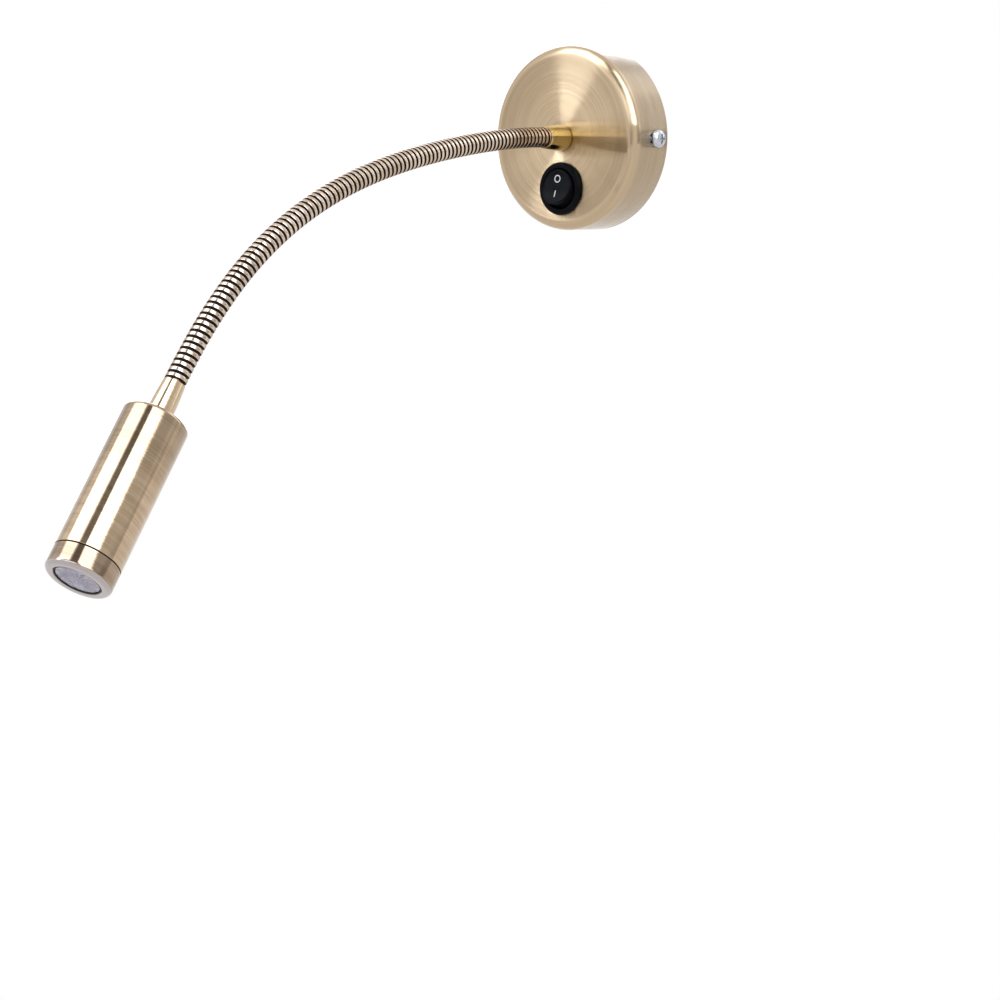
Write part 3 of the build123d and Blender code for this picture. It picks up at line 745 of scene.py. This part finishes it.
def throughArc(first, middle, last, steps=10):
    # profile points on the circle through three points
    ax, ay = first
    bx, by = middle
    cx, cy = last
    scale = 2 * (ax * (by - cy) + bx * (cy - ay) + cx * (ay - by))
    squares = [x * x + y * y for x, y in (first, middle, last)]
    centreX = (squares[0] * (by - cy) + squares[1] * (cy - ay) + squares[2] * (ay - by)) / scale
    centreY = (squares[0] * (cx - bx) + squares[1] * (ax - cx) + squares[2] * (bx - ax)) / scale
    radius = sqrt((ax - centreX) ** 2 + (ay - centreY) ** 2)
    start = degrees(atan2(ay - centreY, ax - centreX))
    turn = (degrees(atan2(cy - centreY, cx - centreX)) - start + 180) % 360 - 180
    return arc((centreX, centreY), radius, start, start + turn, steps)


def makeFerrule(name, body, node, origin, axis, shape):
    profile = shape["nipple"] + shape["foot"] + throughArc(*shape["flare"])
    profile += shape["mouth"] + shape["socket"]
    finish = {**ferruleFinish, "centre": tuple(origin), "axis": tuple(axis), **shape["finish"]}
    material = brushedBrass(name + "Brass", finish)
    piece = turnedPiece(name, profile, origin, axis, material, sides=128, sharp=30)
    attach(piece, body)
    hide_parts(node)


makeFerrule("canopyFerrule", "base", "base_ferrule", wallPoint, outFromWall, baseFerrule)


# the neck: one wound strip, in a stretch for each joint that follows its line

headPlace = {
    "drop": 50.9,                 # degrees below straight out from the wall
    "side": 5.8,                  # and to the side
    "ferrule": 16.5,
}
headAxis = Vector((
    sin(radians(headPlace["side"])),
    -cos(radians(headPlace["side"])) * cos(radians(headPlace["drop"])),
    -cos(radians(headPlace["side"])) * sin(radians(headPlace["drop"])),
))

neckPath = {
    "baseMouth": 35.5,            # out from the wall
    "tip": 10.2,                  # from the last joint to the head's ferrule
}

winding = {
    "crown": 4.33,
    "gap": 3.98,
    "nearPitch": 2.33,
    "farPitch": 2.72,
    "sides": 40,
    "strip": 0.5,                 # thickness of the wound strip
    "nudge": 0.0001,              # keeps a whole turn from being read as the end of the one before
    "merge": 0.00001,             # metres, closes the winding where its two ends meet
    "lineSteps": 40,
    "bend": 9.6,                  # how far from a joint the points on either side of it lie
    "farFirst": (4,),             # the far side listed first, where the near side loses the pivot
    # the strip's section: share of the pitch, then share of the height, at twelve even steps
    "places": (0.0, 0.185, 0.20, 0.215, 0.24, 0.34, 0.5, 0.66, 0.76, 0.785, 0.80, 0.815, 1.0),
    "heights": (0.0, 0.0, 0.45, 0.82, 0.96, 1.0, 0.985, 1.0, 0.96, 0.82, 0.45, 0.0, 0.0),
}

windingFinish = {
    # near black below the crown: painted shade in the gaps between the ribs
    "gap": (0.010, 0.005, 0.004),
    "dark": (0.52, 0.415, 0.315),
    "pale": (0.74, 0.62, 0.505),
    "gapFrom": 0.86,              # share of the rib's height where the painted shade ends
    "gapTo": 0.975,               # and where the full polish starts
    "gapSheen": (0.62, 0.54, 0.50),
    "gapSpecular": 0.1,
    "gapRoughness": 0.55,
    "crownRoughness": 0.18,
    "roughnessSwing": 0.06,
    "bloomSize": 0.09,
    "bloomNoise": (3.0, 0.6),     # detail and roughness
    "scuffSize": 2.2,
    "scuffNoise": (3.0, 0.7),
    "scuffShare": 0.15,
    "scuffRelief": 0.06,
}

neckJoints = [joint for joint in frame["joints"] if joint["name"].startswith("neck_")]
neckBodies = ["base"]
pivots = []
while neckBodies[-1] != "head":
    joint = next(joint for joint in neckJoints if joint["parent"] == neckBodies[-1])
    pivots.append(Vector(joint["pos_m"]))
    neckBodies.append(joint["child"])
baseMouth = outFromWall * neckPath["baseMouth"] * mm
headMouth = pivots[-1] + headAxis * neckPath["tip"] * mm
neckPoints = [baseMouth, *pivots, headMouth]
headStart = headMouth + headAxis * headPlace["ferrule"] * mm


def lineCurve(name, points, resolution, thickness=0.0):
    # a smooth NURBS line with these control points
    curve = bpy.data.curves.new(name, "CURVE")
    curve.dimensions = "3D"
    spline = curve.splines.new("NURBS")
    spline.points.add(len(points) - 1)
    for point, place in zip(spline.points, points):
        point.co = (*place, 1)
    spline.order_u = 3
    spline.use_endpoint_u = True
    spline.resolution_u = resolution
    curve.bevel_depth = thickness
    curve.bevel_resolution = 5
    curve.use_fill_caps = thickness > 0
    return addObject(name, curve)


def windingTree(plan, material):
    tree = bpy.data.node_groups.new("neckWinding", "GeometryNodeTree")
    floats = ("Start Turn", "Turns", "Crown", "Gap", "Near Pitch", "Pitch Growth")
    inputs = {"Geometry": "Geometry", "Rows": "Int", "Sides": "Int", **dict.fromkeys(floats, "Float")}
    for name, kind in inputs.items():
        tree.interface.new_socket(name=name, in_out="INPUT", socket_type="NodeSocket" + kind)
    tree.interface.new_socket(name="Geometry", in_out="OUTPUT", socket_type="NodeSocketGeometry")
    gn = Nodes(tree)
    given = gn.node("NodeGroupInput")
    grid = gn.node("GeometryNodeMeshGrid", None, {
        "Size X": 1.0, "Size Y": 1.0,
        "Vertices X": given.output("Rows"), "Vertices Y": given.output("Sides"),
    })
    split = gn.node("ShaderNodeSeparateXYZ", None, [gn.node("GeometryNodeInputPosition")])
    turn = (split.output("X") + 0.5) * given.output("Turns") + given.output("Start Turn")
    round01 = split.output("Y") + 0.5
    step = (turn + plan["nudge"]).math("FRACT")
    whole = (turn + plan["nudge"]).math("FLOOR")
    steps = len(plan["places"]) - 1
    section = {}
    for key in ("places", "heights"):
        stops = [(index / steps, value) for index, value in enumerate(plan[key])]
        section[key] = gn.node("ShaderNodeFloatCurve", {"curve": stops}, {"Value": step})
    wound = whole + section["places"] + round01
    length = wound * given.output("Near Pitch") + wound * wound * given.output("Pitch Growth") * 0.5
    line = gn.node("GeometryNodeSampleCurve", {"mode": "LENGTH"}, {"Curves": given, "Length": length})
    centre, travel = line.output("Position"), line.output("Tangent")
    radius = given.output("Gap") + section["heights"] * (given.output("Crown") - given.output("Gap"))
    angle = round01 * (2 * pi) + pi
    second = travel.vector("CROSS_PRODUCT", tuple(across)).vector("NORMALIZE")
    first = gn.scale(tuple(across), radius * angle.math("COSINE"))
    outward = first.vector("ADD", second.scaled(radius * angle.math("SINE")))
    kept = gn.node("GeometryNodeStoreNamedAttribute", {"data_type": "FLOAT", "domain": "POINT"},
                   {"Geometry": grid, "Name": "ribHeight", "Value": section["heights"]})
    placed = gn.node("GeometryNodeSetPosition", None,
                     {"Geometry": kept, "Position": centre.vector("ADD", outward)})
    merged = gn.node("GeometryNodeMergeByDistance", None,
                     {"Geometry": placed, "Distance": plan["merge"]})
    turned = gn.node("GeometryNodeFlipFaces", None, {"Mesh": merged})
    smooth = gn.node("GeometryNodeSetShadeSmooth", None, {"Geometry": turned})
    real = gn.node("GeometryNodeRealizeInstances", None, {"Geometry": smooth})
    dressed = gn.node("GeometryNodeSetMaterial", None, {"Geometry": real, "Material": material})
    gn.node("NodeGroupOutput", None, [dressed], output=None)
    return tree


def setInput(modifier, name, value):
    for item in modifier.node_group.interface.items_tree:
        if item.in_out == "INPUT" and item.name == name:
            modifier[item.identifier] = value


def makeNeck(plan, finish):
    material = neckBrass("windingBrass", finish)
    tree = windingTree(plan, material)
    runs = [(b - a).length / mm for a, b in zip(neckPoints, neckPoints[1:])]
    total = sum(runs)
    turns = 2 * total / (plan["nearPitch"] + plan["farPitch"])
    growth = (plan["farPitch"] - plan["nearPitch"]) / turns
    cuts = [-1]                       # the turns at which the pieces meet, halfway between the joints
    reached = runs[0]
    for run in runs[1:-1]:
        middle = reached + run / 2
        wound = (sqrt(plan["nearPitch"] ** 2 + 2 * growth * middle) - plan["nearPitch"]) / growth
        cuts.append(round(wound - 0.5))
        reached += run
    cuts.append(round(turns) + 1)
    steps = len(plan["places"]) - 1
    for number, (fromTurn, toTurn) in enumerate(zip(cuts, cuts[1:]), start=1):
        line = lineCurve("neckLine", neckPoints, plan["lineSteps"])
        modifier = line.modifiers.new("winding", "NODES")
        modifier.node_group = tree
        values = {
            "Start Turn": float(fromTurn), "Turns": float(toTurn - fromTurn),
            "Rows": (toTurn - fromTurn) * steps + 1, "Sides": plan["sides"] + 1,
            "Crown": plan["crown"] * mm, "Gap": plan["gap"] * mm,
            "Near Pitch": plan["nearPitch"] * mm, "Pitch Growth": growth * mm,
        }
        for name, value in values.items():
            setInput(modifier, name, value)
        mesh = evaluatedMesh(line)
        mesh.name = f"neckWinding{number:02d}"
        bpy.data.objects.remove(line)
        piece = addPiece(mesh.name, mesh, material)
        wall = piece.modifiers.new("strip", "SOLIDIFY")
        wall.thickness = plan["strip"] * mm
        wall.offset = -1
        applyModifiers(piece)
        smoothShading(piece.data, sharp=60)
        pivot = neckPoints[number]
        before = (pivot - neckPoints[number - 1]).normalized() * plan["bend"] * mm
        after = (neckPoints[number + 1] - pivot).normalized() * plan["bend"] * mm
        sides = [(neckBodies[number - 1], tuple(pivot - before)),
                 (neckBodies[number], tuple(pivot + after))]
        if number in plan["farFirst"]:
            sides.reverse()
        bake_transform(piece)
        if number == 1:
            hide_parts("neck_root", "neck_link_01", "neck_cable_01")
        elif number == len(pivots):
            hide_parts("neck_tip")
        else:
            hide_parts(f"neck_link_{number:02d}", f"neck_cable_{number:02d}")
    print("neck wound:", round(turns), "turns on", round(total), "mm")


makeNeck(winding, windingFinish)


# head

headFinish = {
    "centre": tuple(headStart),
    "axis": tuple(headAxis),
    "dark": (0.42, 0.305, 0.195),
    "pale": (0.56, 0.42, 0.285),
    # painted shade: darker towards the back of the head, at the ferrule
    "paintedShade": 0.34,
    "paintedShadeOver": (-24, 4),
    "contrast": 2.4,
    "roughness": 0.06,
    "spread": 0.04,
    "latheLines": 3.0,
    "lineTilt": 0.04,
    "scratchLines": 5.0,
    "scratchReach": 1.2,
    "scratchTilt": 0.06,
    "lacquer": 0.3,
    "bandUnder": -49.25,          # painted shade on the floor of the groove behind the bezel
    "bandColour": (0.02, 0.012, 0.006),
}
# the bezel's brass painted darker than the head body's: painted shade
bezelFinish = dict(headFinish, dark=(0.27, 0.19, 0.125), pale=(0.39, 0.285, 0.20), paintedShade=0.0)
# painted pale reflection on the bezel's front face and the front of its rounded edge
bezelFinish.update(bandUnder=-57.4, bandColour=(0.44, 0.395, 0.39))

headShape = {"radius": 13.3, "edge": 2.0, "grooveFrom": 62.5, "bezelFrom": 63.0, "spigot": 12.3,
             "spigotEnd": 66.6, "bore": 11.6, "top": 1.6, "thread": 4.03, "length": 72.0,
             "opening": 9.5, "lipBack": 71.0, "bevel": 0.4, "ease": 0.12, "play": 0.03}

makeFerrule("headFerrule", "head", "head_ferrule", headStart, headAxis, headFerrule)


def makeHead(plan):
    outer, edge, ease, groove = plan["radius"], plan["edge"], plan["ease"], plan["grooveFrom"]
    spigot, spigotEnd, bore = plan["spigot"], plan["spigotEnd"], plan["bore"]
    body = [(plan["thread"], 0), (outer - edge, 0)]
    body += arc((outer - edge, edge), edge, -90, 0, steps=12)
    body += [(outer, groove - ease), (outer - ease, groove), (spigot, groove), (spigot, spigotEnd)]
    body += [(bore, spigotEnd), (bore, plan["top"]), (plan["thread"], plan["top"])]
    brass = brushedBrass("brushedBrassHead", headFinish)
    piece = turnedPiece("headBody", body, headStart, headAxis, brass, sides=192, sharp=40)
    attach(piece, "head")
    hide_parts("head_housing")
    back, threadTop = plan["bezelFrom"], spigot + plan["play"]
    bezel = [(threadTop, back), (outer - ease, back), (outer, back + ease)]
    opening, bevel, front = plan["opening"], plan["bevel"], plan["length"]
    bezel += arc((outer - edge, front - edge), edge, 0, 90, steps=12)
    bezel += [(opening + bevel, front), (opening, front - bevel)]
    bezel += [(opening, plan["lipBack"]), (bore, plan["lipBack"])]
    bezel += [(bore, spigotEnd), (threadTop, spigotEnd)]
    brass = brushedBrass("brushedBrassBezel", bezelFinish)
    piece = turnedPiece("headBezel", bezel, headStart, headAxis, brass, sides=192, sharp=40)
    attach(piece, "head")
    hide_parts("bezel_ring")


makeHead(headShape)
print("head made")


# switch: flange, and a rocker with two sloping faces

switchShape = {"flange": 11.5, "face": 23.0, "top": 25.0, "edge": 1.3, "well": 8.95, "wellEdge": 0.3,
               "wellFloor": 16.6, "barrel": 9.85, "barrelBack": 10.5}

switchFinish = {
    "body": {"colours": ((0.004, 0.004, 0.005), (0.007, 0.007, 0.009)), "roughness": 0.20,
             "strength": 0.08, "grainSize": 2.0, "specular": 0.04, "ior": 1.35},
    "rocker": {"colours": ((0.003, 0.003, 0.004), (0.006, 0.006, 0.008)), "roughness": 0.14,
               "strength": 0.06, "grainSize": 2.0, "specular": 0.05, "ior": 1.35},
    "marks": {"colours": ((0.72, 0.72, 0.72), (0.80, 0.80, 0.80)), "roughness": 0.5},
}

rockerShape = {
    "pivotOut": 23.5,
    "tilt": 14.0,
    "radius": 7.8,
    "hollow": 3.1,                # height of the face above the pivot, in the middle
    "rise": 4.4,                  # and at arcHalf from the middle
    "arcHalf": 9.0,
    "skirt": -3.2,
    "edge": 0.6,
    "faceRings": (0.25, 0.5, 0.7, 0.85),
    "sides": 96,
}


def makeSwitchBody(plan, material):
    flange, face, top, edge, well, wellEdge, floor, barrel, back = plan.values()
    profile = [(0, back), (barrel, back), (barrel, face), (flange, face)]
    profile += arc((flange - edge, top - edge), edge, 0, 90, steps=8)
    profile += arc((well + wellEdge, top - wellEdge), wellEdge, 90, 180, steps=4)
    profile += [(well, floor), (0, floor)]
    piece = turnedPiece("switchBody", profile, switchPoint, outFromWall, material, sides=96, sharp=40)
    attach(piece, "base")
    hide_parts("switch_housing")


def rockerPoint(plan, x, v, height):
    # a point in mm: x across, v up the tilted face and height out from the pivot
    tilt = radians(plan["tilt"])
    upFace = Vector((0, sin(tilt), cos(tilt)))
    outFace = Vector((0, -cos(tilt), sin(tilt)))
    pivot = Vector((0, -plan["pivotOut"], -canopy["switchDrop"]))
    return (pivot + across * x + upFace * v + outFace * height) * mm


def rockerPlace(plan, x, v, lift=0.0):
    # the same on the hollow face, with lift above it
    height = plan["hollow"] + (plan["rise"] - plan["hollow"]) * (v / plan["arcHalf"]) ** 2 + lift
    return rockerPoint(plan, x, v, height)


def makeRocker(plan, material):
    radius, edge, sides = plan["radius"], plan["edge"], plan["sides"]
    steps = [(radius * share, 0.0) for share in plan["faceRings"]]
    for turn in [radians(degree) for degree in range(0, 91, 15)]:
        steps.append((radius - edge + edge * sin(turn), edge * (cos(turn) - 1)))
    bm = bmesh.new()
    rings = []
    for reach, lift in steps:
        outline = circleOutline(reach, sides)
        rings.append([bm.verts.new(rockerPlace(plan, *point, lift)) for point in outline])
    outline = circleOutline(radius, sides)
    skirt = [bm.verts.new(rockerPoint(plan, *point, plan["skirt"])) for point in outline]
    rings.append(skirt)
    middle = bm.verts.new(rockerPlace(plan, 0, 0))
    foot = bm.verts.new(rockerPoint(plan, 0, 0, plan["skirt"]))
    for index in range(sides):
        after = (index + 1) % sides
        bm.faces.new((middle, rings[0][index], rings[0][after]))
        bm.faces.new((foot, skirt[after], skirt[index]))
        for near, far in zip(rings, rings[1:]):
            bm.faces.new((near[index], far[index], far[after], near[after]))
    mesh = closedMesh(bm, "rockerButton")
    piece = addPiece("rockerButton", mesh, material)
    smoothShading(mesh, sharp=50)
    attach(piece, "rocker")
    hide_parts("switch_rocker")


marks = {
    "circleUp": 3.6, "circleAcross": 0.0, "circleRadius": 1.46, "stroke": 0.36, "circleSteps": 48,
    "barUp": -3.0, "barAcross": -0.1, "barLength": 2.9, "barWidth": 0.38, "barSteps": 6,
    "lift": 0.03, "depth": 0.05,  # above the rocker's face and into it
}


def makeMark(name, outline, plan, material):
    # a printed mark: strips of (x, v) points joined in pairs, laid on the rocker's face
    bm = bmesh.new()
    rows = []
    lift, depth = plan["lift"], -plan["depth"]
    for inner, outer in outline:
        corners = ((inner, lift), (outer, lift), (outer, depth), (inner, depth))
        places = [rockerPlace(rockerShape, *point, height) for point, height in corners]
        rows.append([bm.verts.new(place) for place in places])
    closed = (Vector(outline[0][0]) - Vector(outline[-1][0])).length < 1e-6
    for near, far in zip(rows, rows[1:]):
        joinRings(bm, near, far)
    if not closed:
        bm.faces.new(rows[0])
        bm.faces.new(rows[-1][::-1])
    bmesh.ops.remove_doubles(bm, verts=bm.verts, dist=mergeDistance)
    piece = addPiece(name, closedMesh(bm, name), material)
    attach(piece, "rocker")


def makeMarks(plan, material):
    centre, half = (plan["circleAcross"], plan["circleUp"]), plan["stroke"] / 2
    edges = [arc(centre, plan["circleRadius"] + reach, 0, 360, plan["circleSteps"])
             for reach in (-half, half)]
    makeMark("offMark", list(zip(*edges)), plan, material)
    half, middle = plan["barWidth"] / 2, plan["barAcross"]
    bar = []
    for step in range(plan["barSteps"] + 1):
        v = plan["barUp"] + plan["barLength"] * (step / plan["barSteps"] - 0.5)
        bar.append(((middle - half, v), (middle + half, v)))
    makeMark("onMark", bar, plan, material)


makeSwitchBody(switchShape, plastic("switchBlack", **switchFinish["body"]))
makeRocker(rockerShape, plastic("rockerBlack", **switchFinish["rocker"]))
makeMarks(marks, plastic("markWhite", **switchFinish["marks"]))
print("switch made")


# two side screws, cross-slotted

sideScrew = {
    # radius and distance out from the canopy's side, in mm, round the profile
    "shank": [(0, -6.5), (1.6, -6.5), (2.0, -6.0), (2.0, 0)],
    "rim": [(4.0, 0), (3.95, 0.5)],
    "dome": ((3.9, 0.8), (3.25, 1.95), (2.01, 2.42)),
    "top": [(1.005, 2.56), (0, 2.6)],
    "slotWidth": 0.9,
    "slotLength": 4.4,
    "slotDepth": (1.1, 3.6),
}


def makeSideScrews(plan, material):
    profile = plan["shank"] + plan["rim"] + throughArc(*plan["dome"], steps=8) + plan["top"]
    long, wide = plan["slotLength"] / 2, plan["slotWidth"] / 2
    for side, name in ((-1, "sideScrewLeft"), (1, "sideScrewRight")):
        place = Vector((side * canopy["radius"], -canopy["slotOut"], 0)) * mm
        piece = addPiece(name, turnedMesh(name, profile, place, across * side, sides=48), material)
        cutters = []
        for x, y in ((long, wide), (wide, long)):
            outline = [(-x, -y), (x, -y), (x, y), (-x, y)]
            cutters.append(cutBlock(outline, place, outFromWall * side, up * -1, *plan["slotDepth"]))
        cutAway(piece, cutters)
        smoothShading(piece.data, sharp=35)
        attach(piece, "base")
        if side == 1:
            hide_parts("side_screws")


zincColours = ((0.42, 0.44, 0.48), (0.66, 0.68, 0.72))
zinc = plainMetal("zincSteel", zincColours, roughness=0.30, grainSize=0.9, strength=0.3)
makeSideScrews(sideScrew, zinc)


# leads and cable inside the canopy

leads = {
    # the node, its slot, the radius, the colour, and the route's points, in mm
    "leadNeutral": ("neutral_lead", "lead_blue", 0.9, (0.06, 0.16, 0.48), [
        (-18.25, -6, -14), (-18.25, -6, -5), (-15, -5.4, 5), (-12, -4.3, 17), (-12, -8.3, 17)]),
    "leadSupply": ("supply_lead", "lead_brown", 0.9, (0.20, 0.085, 0.035), [
        (-25.75, -6, -14), (-25.75, -6, -6), (-19, -9.6, -1), (-9, -8.2, -3.5),
        (0, -6, -10.5), (0, -6, -17.6)]),
    "leadSwitched": ("switched_lead", "lead_brown", 0.9, (0.20, 0.085, 0.035), [
        (0, -6, -26.4), (0, -6, -30.5), (5.5, -6.4, -34), (13.2, -7, -28.5), (13.6, -7.6, -15),
        (13.4, -7, -2), (12, -4.3, 10), (11, -4.3, 17), (11, -8.3, 17)]),
    "cableBase": ("base_cable", "cable_clear", 1.95, (0.70, 0.68, 0.62), [
        (0, -47.6, 0), (0, -4.4, 0), (0, -4.4, 21.5), (0, -8.3, 21.5)]),
}

paler = 1.25                      # a sheath's palest colour against its own


def makeLeads(plan):
    for name, (node, slot, radius, colour, points) in plan.items():
        route = [Vector(point) * mm for point in points]
        line = lineCurve(name, route, resolution=16, thickness=radius * mm)
        mesh = evaluatedMesh(line)
        bpy.data.objects.remove(line)
        mesh.name = name
        pale = tuple(min(1.0, part * paler) for part in colour)
        material = plastic(name + "Sheath", (colour, pale), roughness=0.42, strength=0.2, grainSize=1.5)
        piece = addPiece(name, mesh, material)
        smoothShading(mesh, sharp=60)
        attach(piece, "base")
        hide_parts(node)


makeLeads(leads)
print("screws and leads made")


# lens with cut facets, and the seal whose thin lip shows round it

lensCut = {
    "front": 70.4,
    "petals": 12,
    "tip": 1.3,                   # how far the middle stands out from the front
    # radius, how far the face lies under the front there, and how much deeper every second point is
    "face": ((2.0, -1.45, 0.5), (4.4, -1.0, 0.9), (6.8, -1.25, 0.7), (8.8, -0.85, 0.0),
             (9.05, -0.6, 0.0), (9.05, 0.0, 0.0)),
    # radius and distance from the head's back: flange, cone and the pocket over the emitter
    "back": ((11.3, 70.4), (11.3, 68.8), (10.0, 68.8), (7.6, 61.0), (3.6, 55.6),
             (2.4, 55.6), (2.4, 58.1)),
}

lensFinish = {
    "dark": (0.42, 0.38, 0.45),
    "pale": (0.62, 0.585, 0.68),
    "hazeSize": 0.22,
    "hazeNoise": (1.0, 0.5),
    "hazeRange": (0.2, 0.8),
    "roughness": 0.08,
    "hazeRoughness": 0.08,
    "transmission": 0.3,
    "ior": 1.49,
}

sealShape = {"inner": 9.1, "lip": 9.48, "outer": 11.2, "back": 70.42, "shoulder": 70.95, "front": 71.75}


def makeLens(plan, material):
    first = headAxis.orthogonal().normalized()
    side = headAxis.cross(first)
    count = plan["petals"] * 2
    bm = bmesh.new()

    def ring(radius, along, wave=0.0):
        made = []
        for index, turn in enumerate(turnsRound(count)):
            outward = first * cos(turn) + side * sin(turn)
            lift = along - wave * (index % 2)
            made.append(bm.verts.new(headStart + (outward * radius + headAxis * lift) * mm))
        return made

    def cap(points, along):
        tip = bm.verts.new(headStart + headAxis * along * mm)
        for index in range(count):
            bm.faces.new((tip, points[index], points[(index + 1) % count]))

    rings = [ring(radius, plan["front"] - depth, wave) for radius, depth, wave in plan["face"]]
    rings += [ring(radius, along) for radius, along in plan["back"]]
    cap(rings[0], plan["front"] + plan["tip"])
    cap(rings[-1], plan["back"][-1][1])
    for near, far in zip(rings, rings[1:]):
        for index in range(count):
            after = (index + 1) % count
            bm.faces.new((near[index], near[after], far[after]))
            bm.faces.new((near[index], far[after], far[index]))
    piece = addPiece("headLens", closedMesh(bm, "headLens"), material)
    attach(piece, "head")
    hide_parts("lens")


def makeSeal(plan, material):
    inner, lip, outer, back, shoulder, front = plan.values()
    profile = [(inner, back), (outer, back), (outer, shoulder), (lip, shoulder)]
    profile += [(lip, front), (inner, front)]
    piece = turnedPiece("lensSeal", profile, headStart, headAxis, material, sides=96, sharp=30)
    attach(piece, "head")
    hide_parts("seal_ring")


makeLens(lensCut, lensClear("lensClear", lensFinish))
makeSeal(sealShape, plastic("sealBlack", ((0.012, 0.012, 0.012), (0.02, 0.02, 0.02)), 0.6))
print("lens made")


# the nodes that keep their own shape

innerMetals = {
    # two colours, roughness, grain for each mm, its strength, and the nodes
    "zincPressed": ((0.50, 0.52, 0.56), (0.68, 0.70, 0.74), 0.34, 0.5, 0.3,
                    ("wall_bracket", "lock_washer", "head_washer")),
    "tinnedBrass": ((0.55, 0.53, 0.48), (0.72, 0.70, 0.64), 0.28, 0.8, 0.2,
                    ("earth_tag", "switch_terminals")),
    "nutBrass": ((0.52, 0.38, 0.17), (0.66, 0.49, 0.25), 0.26, 0.8, 0.2, ("neck_nut", "head_nut")),
    "sinkAluminium": ((0.62, 0.63, 0.65), (0.76, 0.77, 0.79), 0.36, 0.5, 0.3, ("heat_sink",)),
}

innerPlastics = {
    # two colours, roughness, for foam also the grain's strength and its grains for each mm
    "mouldedWhite": ((0.78, 0.78, 0.75), (0.84, 0.84, 0.81), 0.45, "terminal_block"),
    "driverCase": ((0.72, 0.72, 0.70), (0.80, 0.80, 0.78), 0.5, "led_driver"),
    "padFoam": ((0.10, 0.10, 0.11), (0.16, 0.16, 0.17), 0.95, 1.0, 5.0, "driver_pad"),
    "boardWhite": ((0.76, 0.77, 0.74), (0.84, 0.84, 0.82), 0.35, "led_board"),
    "emitterYellow": ((0.80, 0.62, 0.10), (0.88, 0.72, 0.16), 0.35, "led_emitter"),
    "holderPale": ((0.62, 0.61, 0.64), (0.72, 0.71, 0.74), 0.4, "lens_holder"),
    "cableSheath": ((0.66, 0.64, 0.58), (0.74, 0.72, 0.66), 0.4, "head_cable"),
}


def dress(material, nodes):
    for name in nodes:
        for slot in frame["nodes"][name].material_slots:
            slot.material = material


def dressNodes():
    for name, (dark, pale, *grain, nodes) in innerMetals.items():
        dress(plainMetal(name, (dark, pale), *grain), nodes)
    for name, (dark, pale, *grain, node) in innerPlastics.items():
        dress(plastic(name, (dark, pale), *grain), (node,))
    dress(zinc, ("earth_screw", "terminal_screws", "board_screws"))


dressNodes()
print("inner nodes dressed")
